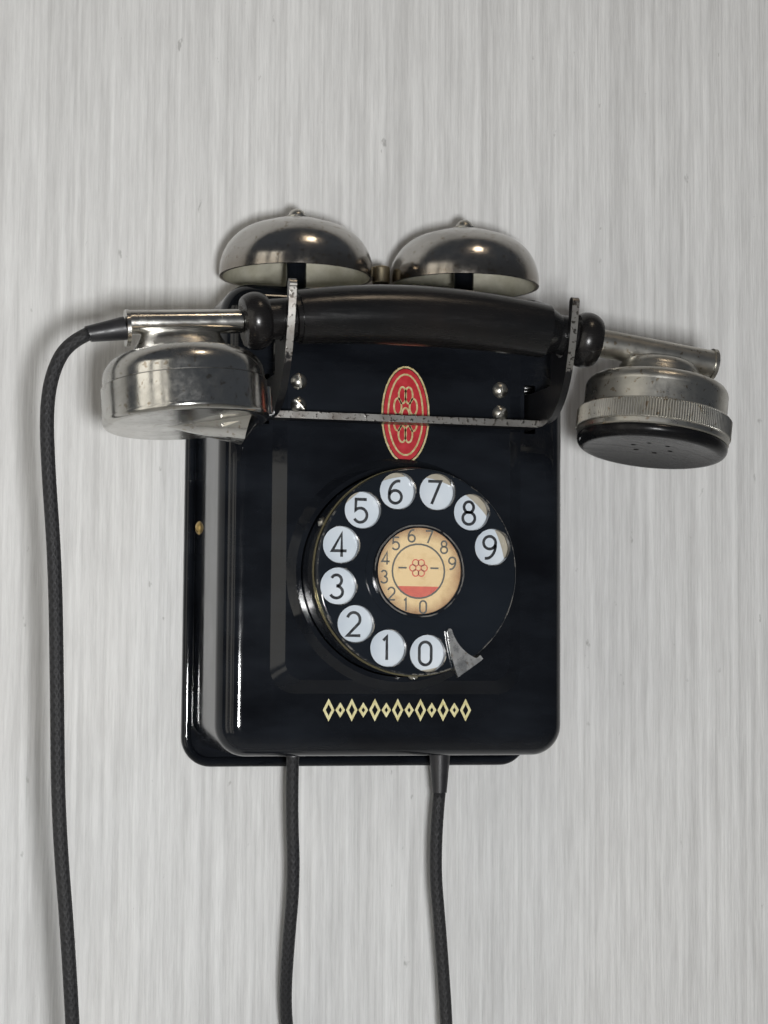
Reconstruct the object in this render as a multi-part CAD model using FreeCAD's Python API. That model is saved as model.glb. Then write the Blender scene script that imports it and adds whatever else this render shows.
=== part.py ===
"""Rotary wall telephone of about 1930: steel case, gongs on top, handset across a fork cradle.

Frame in millimetres: X to the right, Z up, the wall at Y = 0 and the telephone in front of it at
negative Y. Depths are given as d, the distance out from the wall, so Y = -d. The origin is the centre
of the wall plate's back face.
"""
import FreeCAD, Part
import math
import os

V = FreeCAD.Vector
OUT = V(0, -1, 0)

# ---- driving dimensions -------------------------------------------------------------------------
PLATE_HALF_W = 73.8
PLATE_HALF_H = 94.1
PLATE_CORNER_R = 12.0
PLATE_T = 1.5
BEAD_R = 2.0
MOUNT_X = 50.0
MOUNT_Z = 70.0
MOUNT_HOLE_R = 2.5

CASE_HALF_W = 69.5
CASE_LOW = -87.3
CASE_HIGH = 95.0
CASE_CORNER_R = 12.0
CASE_FRONT_D = 63.8
CASE_FRONT_R = 9.0
CASE_T = 1.2
PANEL_RISE = 2.8
PANEL_HALF_W = 50.4
PANEL_LOW = -63.6
PANEL_HIGH = 80.0
PANEL_CORNER_R = 10.0
PANEL_SLOPE = 5.6
COVER_SCREW_D = 13.0
COVER_SCREW_Z = 2.5

DIAL_Z = -17.0
DIAL_CASE_R = 39.3
DIAL_HOLE_R = 39.7
COLLAR_R = 45.0
COLLAR_TOP_R = 41.6
COLLAR_RISE = 3.0
DIAL_CASE_FRONT_D = 88.0
WHEEL_R = 38.9
WHEEL_FRONT_D = 92.5
WHEEL_T = 1.6
FINGER_HOLE_R = 6.9
FINGER_CIRCLE_R = 30.9
FINGER_HOLES = 10
FINGER_FIRST_DEG = 82.2
FINGER_STEP_DEG = 28.84
CARD_HOLDER_R = 17.5
CARD_R = 16.7
NUMBER_PLATE_R = 36.5
PLATE_SHIFT_X = -0.9
PLATE_SHIFT_Z = -0.6
HOLE_CHAMFER = 0.3
SHAFT_R = 2.97
RUNNING_GAP = 0.04
GEAR_MODULE = 0.7
MAIN_TEETH = 60
PINION_TEETH = 15
FAST_MODULE = 0.5
FAST_TEETH = 30
GOVERNOR_TEETH = 10
PULSE_POLAR_DEG = 200.0
DIAL_SCREW_DEG = (88.0, 208.0, 328.0)
STOP_DEG = 58.4

GONG_X = 35.2
GONG_D = 34.5
GONG_R = 30.8
GONG_RIM_Z = 102.8
GONG_H = 24.0
GONG_T = 1.3
POST_R = 4.1
CLAPPER_PIVOT_Z = 82.0
CORE_X = 18.0

EAR_OUT_X = 55.2
STEEL_T = 2.7
BEND_R = 3.2
LEFT_EAR_RISE = 0.9
RIGHT_EAR_RISE = -0.3
BAR_LOW_Z = 40.5
BAR_BACK_D = 70.0
BAR_FRONT_D = 79.0
ARM_TOP_Z = 55.0
HOOK_D = 24.0
HOOK_Z = 56.0
HOOK_PIN_R = 2.0
HOOK_SCREW_X = 40.6
HOOK_SCREW_Z = (47.0, 56.2)
BRACKET_X = 48.0
SPRING_X = 58.8
SPRING_D = 44.0

HANDSET_X = -1.3
HANDSET_D = 103.5
HANDSET_RISE = 0.65
HANDSET_ROLL_DEG = 0.4
HANDSET_TILT_DEG = 5.0
HANDLE_MID_Z = 76.8
HANDLE_BOW_R = 368.0
HANDLE_HALF = 47.8
HANDLE_END_R = 10.0
HANDLE_MID_R = 11.2
NECK_R = 7.5
BEAD_X = 63.8
BEAD_HALF_T = 4.9
HANDLE_BEAD_R = 10.6
NOTCH_Z = 72.8
NOTCH_HALF = 8.1
LEFT_CAPSULE_X = 91.4
RIGHT_CAPSULE_X = 94.4
LEFT_DROOP_DEG = 4.1
RIGHT_DROOP_DEG = 7.4
HANDLE_END_SLOPE_DEG = 8.65
LEFT_TUBE_R = 4.4
LEFT_TUBE_END_X = 111.2
RIGHT_TUBE_END_X = 116.6
FLANGE_R = 6.6
FLANGE_DROP = 2.0
CAP_LOW_H = 38.6
HOOD_RISE = 8.4
HOOD_HALF_W = 19.0
HOOD_SLOT_DEG = (-38.0, -13.0, 13.0, 38.0)
RIGHT_TUBE_R = 5.4

CORD_R = 2.5
LINE_CORD_X = -33.4
CASE_RELIEF_X = 27.3
CORD_D = 30.0
COIL_Z = -239.0
COIL_MEAN_R = 28.0

# Hand-chosen start of the handset's cord relief and routes of the cords, as (x, d, z).
RELIEF_START = (-112.3, 104.1, 67.3)
HANDSET_CORD_ROUTE = [
    (-125.5, 103.5, 64.6), (-132.3, 103.5, 61.2), (-137.6, 103.3, 51.0), (-139.6, 103.0, 37.0),
    (-138.2, 102.4, 14.0), (-135.2, 101.4, -18.0), (-133.6, 100.6, -62.0), (-132.2, 99.0, -106.0),
    (-127.6, 96.6, -150.0), (-124.0, 94.4, -198.0), (-120.4, 92.2, -250.0), (-112.0, 88.2, -300.0),
    (-92.0, 80.0, -343.0), (-59.0, 66.0, -368.0), (-21.0, 50.0, -367.0), (10.0, 37.4, -340.0),
    (27.0, 30.8, -298.0), (32.4, 28.4, -248.0), (31.6, 28.6, -200.0), (28.2, 29.4, -160.0),
    (25.0, 29.8, -128.0), (27.3, 30.0, -103.5)]
LINE_CORD_ROUTE = [
    (-33.4, 30.0, -84.0), (-33.9, 30.0, -108.0), (-32.2, 29.4, -136.0), (-33.6, 25.8, -163.0),
    (-33.0, 17.2, -187.0), (-29.6, 11.6, -207.4)]


# ---- small building functions -------------------------------------------------------------------
def at(x, d, z):
    return V(x, -d, z)


def block(x0, x1, d0, d1, z0, z1):
    return Part.makeBox(x1 - x0, d1 - d0, z1 - z0, at(x0, d1, z0))


def rod_out(x, z, d0, d1, r):
    """A cylinder whose axis points out from the wall."""
    return Part.makeCylinder(r, d1 - d0, at(x, d0, z), OUT)


def rod_x(x0, x1, d, z, r):
    return Part.makeCylinder(r, x1 - x0, at(x0, d, z), V(1, 0, 0))


def rod_z(x, d, z0, z1, r):
    return Part.makeCylinder(r, z1 - z0, at(x, d, z0), V(0, 0, 1))


def ring_out(x, z, d0, d1, r_out, r_in):
    return rod_out(x, z, d0, d1, r_out).cut(rod_out(x, z, d0 - 1, d1 + 1, r_in))


def mirrored(shape):
    return shape.mirror(V(0, 0, 0), V(1, 0, 0))


def both_sides(shape):
    return [shape, mirrored(shape)]


def fused(shapes):
    result = shapes[0]
    for shape in shapes[1:]:
        result = result.fuse(shape)
    return result.removeSplitter()


def cut_all(shape, tools):
    for tool in tools:
        shape = shape.cut(tool)
    return shape


def turned(outline, axis_point, axis):
    """Turns a closed outline of edges once about an axis."""
    face = Part.Face(Part.Wire(outline))
    return face.revolve(axis_point, axis, 360)


def arc(a, b, c):
    return Part.Arc(a, b, c).toShape()


def line(a, b):
    return Part.makeLine(a, b)


def chain(points):
    """Closed outline through points; a tuple (mid, end) among them is an arc to end."""
    edges = []
    here = points[0]
    for item in points[1:]:
        if isinstance(item, tuple):
            edges.append(arc(here, item[0], item[1]))
            here = item[1]
        else:
            edges.append(line(here, item))
            here = item
    if (here - points[0]).Length > 1e-6:
        edges.append(line(here, points[0]))
    return edges


def rounded_rect(half_w, z0, z1, r, d):
    """Wire of a rounded rectangle that faces out from the wall at depth d."""
    s = r * (1 - math.sqrt(0.5))
    return Part.Wire(chain([
        at(-half_w + r, d, z0), at(half_w - r, d, z0),
        (at(half_w - s, d, z0 + s), at(half_w, d, z0 + r)), at(half_w, d, z1 - r),
        (at(half_w - s, d, z1 - s), at(half_w - r, d, z1)), at(-half_w + r, d, z1),
        (at(-half_w + s, d, z1 - s), at(-half_w, d, z1 - r)), at(-half_w, d, z0 + r),
        (at(-half_w + s, d, z0 + s), at(-half_w + r, d, z0))]))


def rounded_slab(half_w, z0, z1, r, d0, d1):
    return Part.Face(rounded_rect(half_w, z0, z1, r, d0)).extrude(OUT * (d1 - d0))


def polar(radius, image_deg, d):
    """A point about the dial's axis; the angle runs clockwise from +X as the dial is faced."""
    a = math.radians(image_deg)
    return at(radius * math.cos(a), d, DIAL_Z - radius * math.sin(a))


def gear(module, teeth, centre, d0, d1, phase_deg):
    """A spur gear with straight-sided teeth, one of them pointing at phase_deg."""
    pitch_r = module * teeth / 2
    rows = ((-1, pitch_r - 1.25 * module, 0.62), (-1, pitch_r + 0.9 * module, 0.22),
            (1, pitch_r + 0.9 * module, 0.22), (1, pitch_r - 1.25 * module, 0.62))
    points = []
    for tooth in range(teeth):
        for side, radius, share in rows:
            half = side * share * module * math.pi / 2 / pitch_r
            a = math.radians(phase_deg) + 2 * math.pi * tooth / teeth + half
            points.append(centre + V(radius * math.cos(a), 0, radius * math.sin(a)))
    points.append(points[0])
    face = Part.Face(Part.makePolygon(points))
    base = face.extrude(OUT * (d1 - d0))
    base.translate(OUT * d0)
    return base


def tube_along(route, r):
    """Cord solid: straight runs joined by tangent arcs. Prints its length and smallest radius."""
    pts = [at(*p) for p in route]
    edges = []
    radii = []
    here = pts[0]
    for i in range(1, len(pts) - 1):
        before, after = pts[i] - pts[i - 1], pts[i + 1] - pts[i]
        half_turn = before.getAngle(after) / 2
        reach = 0.45 * min(before.Length, after.Length)
        radius = reach / math.tan(half_turn)
        radii.append(radius)
        u = V(before).normalize()
        w = V(after).normalize()
        start, end = pts[i] - u * reach, pts[i] + w * reach
        inward = (w - u).normalize()
        mid = pts[i] + inward * (radius / math.cos(half_turn) - radius)
        edges.append(line(here, start))
        edges.append(arc(start, mid, end))
        here = end
    edges.append(line(here, pts[-1]))
    path = Part.Wire(edges)
    section = Part.Wire(Part.makeCircle(r, pts[0], pts[1] - pts[0]))
    solid = path.makePipeShell([section], True, False)
    volume = math.pi * r * r * path.Length
    print("cord length %.0f, smallest radius %.1f, volume ratio %.4f"
          % (path.Length, min(radii), solid.Volume / volume))
    return solid


# ---- wall side ----------------------------------------------------------------------------------
def make_wall_plate():
    """Flat plate with a half-round bead at its sides and bottom; the cover hides its top edge."""
    x, z = PLATE_HALF_W - BEAD_R, PLATE_HALF_H - BEAD_R
    r = PLATE_CORNER_R - BEAD_R
    slab = rounded_slab(x, -z, z, r, 0, PLATE_T)
    bead = [rod_x(-x + r, x - r, BEAD_R, -z, BEAD_R),
            rod_z(-x, BEAD_R, -z + r, z - r, BEAD_R), rod_z(x, BEAD_R, -z + r, z - r, BEAD_R)]
    for sx in (-1, 1):
        for sz in (-1, 1):
            centre = at(sx * (x - r), BEAD_R, sz * (z - r))
            circle = Part.Wire(Part.makeCircle(BEAD_R, centre + V(sx * r, 0, 0), V(0, 0, 1)))
            bead.append(Part.Face(circle).revolve(centre, V(0, -1, 0), 90 if sx * sz > 0 else -90))
    plate = fused([slab] + bead)
    under_cover = rounded_slab(CASE_HALF_W + 0.1, CASE_LOW - 0.1, CASE_HIGH + 0.1, CASE_CORNER_R,
                               PLATE_T, 30)
    lug = block(66.2, 68.2, PLATE_T - 0.1, 21, COVER_SCREW_Z - 7, COVER_SCREW_Z + 7)
    lug = lug.cut(rod_x(60, 70, COVER_SCREW_D, COVER_SCREW_Z, 1.5))
    plate = fused([plate.cut(under_cover)] + both_sides(lug))
    holes = [rod_out(sx * MOUNT_X, sz * MOUNT_Z, -1, PLATE_T + 1, MOUNT_HOLE_R)
             for sx in (-1, 1) for sz in (-1, 1)]
    return cut_all(plate, holes)


def case_form(inset, back_d):
    """The pressed cover's outer form, or the same form set in by the sheet's thickness."""
    front_d = CASE_FRONT_D - inset
    body = rounded_slab(CASE_HALF_W - inset, CASE_LOW + inset, CASE_HIGH - inset,
                        CASE_CORNER_R - inset, back_d, front_d)
    front_edges = [e for e in body.Edges if all(abs(v.Y + front_d) < 1e-6 for v in e.Vertexes)]
    body = body.makeFillet(CASE_FRONT_R - inset, front_edges)
    foot = rounded_rect(PANEL_HALF_W - inset, PANEL_LOW + inset, PANEL_HIGH - inset,
                        PANEL_CORNER_R - inset / 2, front_d - 0.2)
    top = rounded_rect(PANEL_HALF_W - PANEL_SLOPE - inset, PANEL_LOW + PANEL_SLOPE + inset,
                       PANEL_HIGH - PANEL_SLOPE - inset, PANEL_CORNER_R - PANEL_SLOPE / 2 - inset / 2,
                       front_d + PANEL_RISE)
    panel = Part.makeLoft([foot, top], True, True)
    collar_d = front_d + PANEL_RISE - 0.2
    collar = Part.makeCone(COLLAR_R - inset, COLLAR_TOP_R - inset / 2, COLLAR_RISE + 0.2,
                           at(0, collar_d, DIAL_Z), OUT)
    return fused([body, panel, collar])


def make_cover():
    shell = case_form(0, PLATE_T).cut(case_form(CASE_T, PLATE_T - 1))
    cuts = [rod_out(0, DIAL_Z, 50, 80, DIAL_HOLE_R),
            block(-4.2, 4.2, GONG_D - 4, GONG_D + 4, CASE_HIGH - 5, CASE_HIGH + 5),
            rod_z(CASE_RELIEF_X, CORD_D, CASE_LOW - 5, CASE_LOW + 5, 4.0),
            rod_z(LINE_CORD_X, CORD_D, CASE_LOW - 5, CASE_LOW + 5, 4.0)]
    for s in (-1, 1):
        cuts.append(rod_z(s * GONG_X, GONG_D, CASE_HIGH - 5, CASE_HIGH + 5, 3.0))
        cuts.append(rod_x(s * CASE_HALF_W - 5, s * CASE_HALF_W + 5, COVER_SCREW_D, COVER_SCREW_Z, 1.7))
        low_x = min(s * (EAR_OUT_X + 1), s * (EAR_OUT_X - STEEL_T - 1))
        cuts.append(block(low_x, low_x + STEEL_T + 2, 55, 70, BAR_LOW_Z - 0.8, ARM_TOP_Z + 4))
        for z in HOOK_SCREW_Z:
            cuts.append(rod_out(s * HOOK_SCREW_X, z, 55, 70, 1.7))
    return cut_all(shell, cuts)


def slotted_head(centre, axis, r, h, slot_along):
    """A round screw head: a spherical cap with a driver slot."""
    ball_r = (r * r + h * h) / (2 * h)
    ball = Part.makeSphere(ball_r, centre + axis * (h - ball_r))
    keep = Part.makeCylinder(r, h + 1, centre, axis)
    head = ball.common(keep)
    slot = Part.makeBox(2 * r + 2, 0.8, h, V(-r - 1, -0.4, 0))
    slot.Placement = FreeCAD.Placement(centre + axis * (h * 0.45),
                                       FreeCAD.Rotation(slot_along, axis.cross(slot_along), axis, "ZXY"))
    return head.cut(slot)


def make_cover_screws():
    screws = []
    for s in (-1, 1):
        centre = at(s * CASE_HALF_W, COVER_SCREW_D, COVER_SCREW_Z)
        head = slotted_head(centre, V(s, 0, 0), 2.9, 1.7, V(0, 0.6, 0.8))
        shank = Part.makeCylinder(1.5, 4.5, centre, V(-s, 0, 0))
        screws.append(head.fuse(shank))
    return Part.makeCompound(screws)


# ---- cradle and hook switch ---------------------------------------------------------------------
def make_ear(side, rise):
    """One fork ear with its arm, upright beside the bar's end; rise lifts its notch and tips."""
    front_wall = HANDSET_D + NOTCH_HALF
    rear_wall = HANDSET_D - NOTCH_HALF
    x_in = EAR_OUT_X - STEEL_T
    notch_z = NOTCH_Z + rise

    def p(d, z):
        return at(x_in, d, z)

    outline = chain([
        p(HOOK_D, HOOK_Z - 6), p(60, BAR_LOW_Z), p(BAR_FRONT_D, BAR_LOW_Z),
        (p(98.6, 46.3), p(110.3, 61.5)), (p(114.0, 72.0), p(116.4, 82.4 + rise)),
        (p(115.4, 85.6 + rise), p(front_wall + 1.3, 84.2 + rise)), p(front_wall, notch_z),
        (p(HANDSET_D, notch_z - NOTCH_HALF), p(rear_wall, notch_z)), p(rear_wall, 78.6 + rise),
        (p(rear_wall - 1.7, 80.3 + rise), p(rear_wall - 3.4, 78.6 + rise)),
        p(rear_wall - 3.4, ARM_TOP_Z + 1.6),
        (p(rear_wall - 3.9, ARM_TOP_Z + 0.5), p(rear_wall - 5, ARM_TOP_Z)),
        p(60, ARM_TOP_Z), p(HOOK_D + 3, HOOK_Z + 5.2),
        (p(HOOK_D - 5.8, HOOK_Z + 1.5), p(HOOK_D, HOOK_Z - 6))])
    ear = Part.Face(Part.Wire(outline)).extrude(V(STEEL_T, 0, 0))
    ear = ear.cut(rod_x(x_in - 1, EAR_OUT_X + 1, HOOK_D, HOOK_Z, HOOK_PIN_R + RUNNING_GAP))
    ear = ear.cut(rod_x(x_in - 1, EAR_OUT_X + 1, SPRING_D, 51.6, 0.9))
    return ear if side > 0 else mirrored(ear)


def make_cradle():
    """Two ears joined by the bar, as one strip bent at a tight radius."""
    bar = block(-EAR_OUT_X + 1, EAR_OUT_X - 1, BAR_BACK_D, BAR_FRONT_D, BAR_LOW_Z, BAR_LOW_Z + STEEL_T)
    whole = fused([make_ear(-1, LEFT_EAR_RISE), make_ear(1, RIGHT_EAR_RISE), bar])
    corner = block(EAR_OUT_X - BEND_R, EAR_OUT_X + 1, HOOK_D, 125, BAR_LOW_Z - 1, BAR_LOW_Z + BEND_R)
    bend = Part.makeCylinder(BEND_R, 125, at(EAR_OUT_X - BEND_R, 0, BAR_LOW_Z + BEND_R), OUT)
    return cut_all(whole, both_sides(corner.cut(bend)))


def make_hook_brackets():
    front_d = CASE_FRONT_D + PANEL_RISE - CASE_T
    foot = block(36, BRACKET_X + 2, front_d - 5, front_d - 3, 43, 61)
    pads = fused([rod_out(HOOK_SCREW_X, z, front_d - 3.5, front_d, 2.9) for z in HOOK_SCREW_Z])
    wall = block(BRACKET_X, BRACKET_X + 2, HOOK_D - 6, front_d - 3, 43, HOOK_Z + 6)
    lug = rod_x(BRACKET_X + 1, SPRING_X + 2.5, SPRING_D, 80, 1.2)
    post = block(BRACKET_X, BRACKET_X + 2, 40, 48, 60, 83)
    bracket = fused([foot, pads, wall, lug, post])
    holes = [rod_out(HOOK_SCREW_X, z, 50, 70, 1.5) for z in HOOK_SCREW_Z]
    holes.append(rod_x(BRACKET_X - 1, BRACKET_X + 3, HOOK_D, HOOK_Z, HOOK_PIN_R))
    return Part.makeCompound(both_sides(cut_all(bracket, holes)))


def make_hook_pins():
    pin = rod_x(BRACKET_X - 1, EAR_OUT_X + 2, HOOK_D, HOOK_Z, HOOK_PIN_R)
    collar = rod_x(EAR_OUT_X + 0.6, EAR_OUT_X + 2, HOOK_D, HOOK_Z, 3.4)
    return Part.makeCompound(both_sides(pin.fuse(collar)))


def make_hook_springs():
    """Closed-coil extension springs that lift the cradle's arms, hooked through a hole in each."""
    x, d = SPRING_X, SPRING_D
    wire_r, coil_r = 0.5, 2.4
    count = 18
    low, high = 56.0, 73.0
    pitch = (high - low) / (count - 1)
    coils = [Part.makeTorus(coil_r, wire_r + 0.05, at(x, d, low + i * pitch)) for i in range(count)]
    lower = [rod_z(x - coil_r, d, 51.6, low, wire_r), Part.makeSphere(wire_r, at(x - coil_r, d, 51.6)),
             rod_x(51.0, x - coil_r, d, 51.6, wire_r)]
    loop_z = 80 + 1.2 - coil_r + wire_r
    upper = [rod_z(x, d + coil_r, high, loop_z, wire_r),
             Part.makeTorus(coil_r, wire_r, at(x, d, loop_z), V(1, 0, 0))]
    spring = fused(coils + lower + upper)
    return Part.makeCompound(both_sides(spring))


def make_cradle_screws():
    screws = []
    front_d = CASE_FRONT_D + PANEL_RISE
    for s in (-1, 1):
        for i, z in enumerate(HOOK_SCREW_Z):
            centre = at(s * HOOK_SCREW_X, front_d, z)
            turn = math.radians((45, 80)[i] * s)
            head = slotted_head(centre, OUT, 3.2, 2.0, V(math.cos(turn), 0, math.sin(turn)))
            screws.append(head.fuse(Part.makeCylinder(1.5, 7, centre, V(0, 1, 0))))
    return Part.makeCompound(screws)


def make_hook_contacts():
    x0, x1 = -EAR_OUT_X - 1, -BRACKET_X - 2.6
    leaves = [block(x0 + 1, x1 - 1, 12, 44 - 2 * i, 43.6 - 2.2 * i, 44.0 - 2.2 * i) for i in range(4)]
    stack = block(x0, x1, PLATE_T, 20, 34, 45.5)
    return fused([stack] + leaves)


# ---- bell ---------------------------------------------------------------------------------------
def make_gong(side):
    def p(r, h):
        return at(side * GONG_X + r, GONG_D, GONG_RIM_Z + h)

    t = GONG_T
    outline = chain([
        p(GONG_R - t, 0), p(GONG_R, 0), (p(27.0, 13.6), p(15, 21.2)),
        (p(8, 23.3), p(1.9, GONG_H)), p(1.9, GONG_H - t), p(4.6, GONG_H - t),
        (p(9.4, 21.7), p(14.3, 20.0)), (p(25.8, 12.8), p(GONG_R - t, 0))])
    return turned(outline, at(side * GONG_X, GONG_D, 0), V(0, 0, 1))


def make_gong_posts():
    top = GONG_RIM_Z + GONG_H - GONG_T
    posts = []
    for s in (-1, 1):
        post = fused([rod_z(s * GONG_X, GONG_D, CASE_HIGH, top, POST_R),
                      rod_z(s * GONG_X, GONG_D, CASE_HIGH - 3, CASE_HIGH, 2.9),
                      rod_z(s * GONG_X, GONG_D, CASE_HIGH - 6, CASE_HIGH - CASE_T, 6.0)])
        posts.append(post.cut(rod_z(s * GONG_X, GONG_D, top - 8, top + 1, 1.8)))
    return Part.makeCompound(posts)


def make_gong_screws():
    screws = []
    top = GONG_RIM_Z + GONG_H
    for s in (-1, 1):
        head = slotted_head(at(s * GONG_X, GONG_D, top + 0.6), V(0, 0, 1), 3.6, 3.4, V(1, 0, 0))
        washer = rod_z(s * GONG_X, GONG_D, top, top + 0.6, 4.8)
        shank = rod_z(s * GONG_X, GONG_D, top - 7, top, 1.75)
        screws.append(fused([head, washer, shank]))
    return Part.makeCompound(screws)


def make_ringer_frame():
    base = block(-32, 32, PLATE_T, PLATE_T + 2, 36, 60)
    shelf = block(-32, 32, PLATE_T, 48, 38, 41)
    uprights = [block(-4, 4, d, d + 2, 40, CLAPPER_PIVOT_Z + 4) for d in (20.0, 46.0)]
    frame = fused([base, shelf] + uprights)
    return frame.cut(rod_out(0, CLAPPER_PIVOT_Z, 15, 55, 1.5))


def make_ringer_cores():
    yoke = block(-24, 24, GONG_D - 6, GONG_D + 6, 41, 45)
    cores = [rod_z(s * CORE_X, GONG_D, 45, 76, 4) for s in (-1, 1)]
    return fused([yoke] + cores)


def make_ringer_coils():
    coils = []
    for s in (-1, 1):
        body = fused([rod_z(s * CORE_X, GONG_D, 46, 73, 10.5), rod_z(s * CORE_X, GONG_D, 45, 46.2, 11.8),
                      rod_z(s * CORE_X, GONG_D, 72.8, 74, 11.8)])
        coils.append(body.cut(rod_z(s * CORE_X, GONG_D, 40, 80, 4)))
    return Part.makeCompound(coils)


def make_ringer_magnet():
    return block(-14, 14, PLATE_T + 2, 16, 41, 72)


def make_armature():
    bar = block(-24, 24, GONG_D - 5, GONG_D + 5, 77.0, 79.6)
    hub = rod_out(0, CLAPPER_PIVOT_Z, 23, 45, 3.6)
    arm = fused([bar, hub])
    return arm.cut(rod_out(0, CLAPPER_PIVOT_Z, 20, 50, 1.5 + RUNNING_GAP))


def make_armature_pin():
    return rod_out(0, CLAPPER_PIVOT_Z, 19, 49, 1.5)


def make_clapper_rod():
    return rod_z(0, GONG_D, CLAPPER_PIVOT_Z + 3.2, 103.0, 1.1)


def make_hammer():
    def p(r, z):
        return at(r, GONG_D, z)

    outline = chain([p(0, 102.0), p(2.8, 102.0), (p(3.4, 102.3), p(3.6, 103.0)), p(3.6, 108.4),
                     (p(3.4, 109.0), p(2.8, 109.3)), p(0, 109.3)])
    hammer = turned(outline, at(0, GONG_D, 0), V(0, 0, 1))
    return hammer.cut(rod_z(0, GONG_D, 101, 103.0, 1.1))


# ---- dial ---------------------------------------------------------------------------------------
def make_dial_case():
    wall = ring_out(0, DIAL_Z, 57, DIAL_CASE_FRONT_D, DIAL_CASE_R, DIAL_CASE_R - 1.2)
    lip = ring_out(0, DIAL_Z, 56, 58, DIAL_CASE_R, DIAL_CASE_R - 3)
    face = ring_out(0, DIAL_Z, DIAL_CASE_FRONT_D - 1.6, DIAL_CASE_FRONT_D, DIAL_CASE_R - 1, 6)
    case = fused([wall, lip, face])
    screw_holes = [Part.makeCylinder(1.2, 5, polar(DIAL_CASE_R - 3, a, 82), polar_out(a))
                   for a in DIAL_SCREW_DEG]
    return cut_all(case, screw_holes)


def polar_out(image_deg):
    a = math.radians(image_deg)
    return V(math.cos(a), 0, -math.sin(a))


def make_dial_screws():
    screws = []
    for a in DIAL_SCREW_DEG:
        head = slotted_head(polar(DIAL_CASE_R, a, 82), polar_out(a), 2.0, 1.3, V(0, 1, 0))
        shank = Part.makeCylinder(1.2, 2.2, polar(DIAL_CASE_R - 2.2, a, 82), polar_out(a))
        screws.append(head.fuse(shank))
    return Part.makeCompound(screws)


def make_dial_frame():
    rear = ring_out(0, DIAL_Z, 59, 60.5, 34, SHAFT_R + RUNNING_GAP)
    front = ring_out(0, DIAL_Z, 84.6, 86.2, 36, SHAFT_R + RUNNING_GAP)
    pillars = []
    for a in (50, 130, 290):
        c = polar(31, a, 60)
        pillars.append(Part.makeCylinder(2.2, 25, c, OUT))
    frame = fused([rear, front] + pillars)
    pulse, fast = pulse_centre(), governor_centre()
    holes = [Part.makeCylinder(1.5 + RUNNING_GAP, 40, pulse + OUT * 55, OUT),
             Part.makeCylinder(1.2 + RUNNING_GAP, 40, fast + OUT * 55, OUT)]
    for a in (10, 90, 250):
        holes.append(Part.makeCylinder(8, 10, polar(20, a, 55), OUT))
    return cut_all(frame, holes)


def pulse_centre():
    return polar(GEAR_MODULE * (MAIN_TEETH + PINION_TEETH) / 2 + 0.08, PULSE_POLAR_DEG, 0)


def governor_centre():
    """Same distance from the dial's axis as the pulse shaft, one fast gear pair's centres away."""
    radius = GEAR_MODULE * (MAIN_TEETH + PINION_TEETH) / 2 + 0.08
    apart = FAST_MODULE * (FAST_TEETH + GOVERNOR_TEETH) / 2 + 0.06
    turn = 2 * math.degrees(math.asin(apart / 2 / radius))
    return polar(radius, PULSE_POLAR_DEG - turn, 0)


def angle_of(vector):
    return math.degrees(math.atan2(vector.z, vector.x))


def make_main_gear():
    centre = at(0, 0, DIAL_Z)
    toward = angle_of(pulse_centre() - centre)
    wheel = gear(GEAR_MODULE, MAIN_TEETH, centre, 78, 80, toward)
    hub = rod_out(0, DIAL_Z, 76.5, 82, 6)
    wheel = fused([wheel, hub]).cut(rod_out(0, DIAL_Z, 70, 90, SHAFT_R))
    holes = [Part.makeCylinder(4.5, 10, polar(13, a, 74), OUT) for a in (0, 72, 144, 216, 288)]
    return cut_all(wheel, holes)


def make_pulse_pinion():
    c = pulse_centre()
    back = angle_of(at(0, 0, DIAL_Z) - c)
    pinion = gear(GEAR_MODULE, PINION_TEETH, c, 77, 81, back + 180 / PINION_TEETH)
    fast = gear(FAST_MODULE, FAST_TEETH, c, 66, 67.5, angle_of(governor_centre() - c))
    shaft = Part.makeCylinder(1.5, 26.7, c + OUT * 59.2, OUT)
    return fused([pinion, fast, shaft])


def make_pulse_cam():
    c = pulse_centre()
    disc = Part.makeCylinder(5.2, 2, c + OUT * 71, OUT)
    lobes = []
    for a in (90, 270):
        tip = c + V(math.cos(math.radians(a)) * 4.2, 0, math.sin(math.radians(a)) * 4.2)
        lobes.append(Part.makeCylinder(2.0, 2, tip + OUT * 71, OUT))
    return fused([disc] + lobes).cut(Part.makeCylinder(1.5, 10, c + OUT * 68, OUT))


def make_pulse_contacts():
    c = pulse_centre()
    leaves = []
    for i in range(2):
        x = c.x + 7.2 + 1.3 * i
        leaves.append(block(x, x + 0.3, 70, 74, c.z - 8, c.z + 22))
    stack = block(c.x + 5.8, c.x + 9.6, 69, 75, c.z + 13, c.z + 21)
    foot = block(c.x + 5.8, c.x + 7.6, 60.5, 72, c.z + 14, c.z + 19)
    return fused(leaves + [stack, foot])


def make_governor():
    c = governor_centre()
    other = pulse_centre()
    pinion = gear(FAST_MODULE, GOVERNOR_TEETH, c, 65.3, 68.2, angle_of(other - c) + 180 / GOVERNOR_TEETH)
    shaft = Part.makeCylinder(1.2, 26.7, c + OUT * 59.2, OUT)
    hub = Part.makeCylinder(3.0, 3, c + OUT * 61.3, OUT)
    arm = block(c.x - 6.7, c.x + 6.7, 62.2, 63.4, c.z - 1.2, c.z + 1.2)
    weights = [Part.makeCylinder(1.9, 2.6, c + V(s * 5.3, 0, 0) + OUT * 61.5, OUT) for s in (-1, 1)]
    return fused([pinion, shaft, hub, arm] + weights)


def make_dial_shaft():
    return rod_out(0, DIAL_Z, 58, WHEEL_FRONT_D - 0.1, SHAFT_R)


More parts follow.
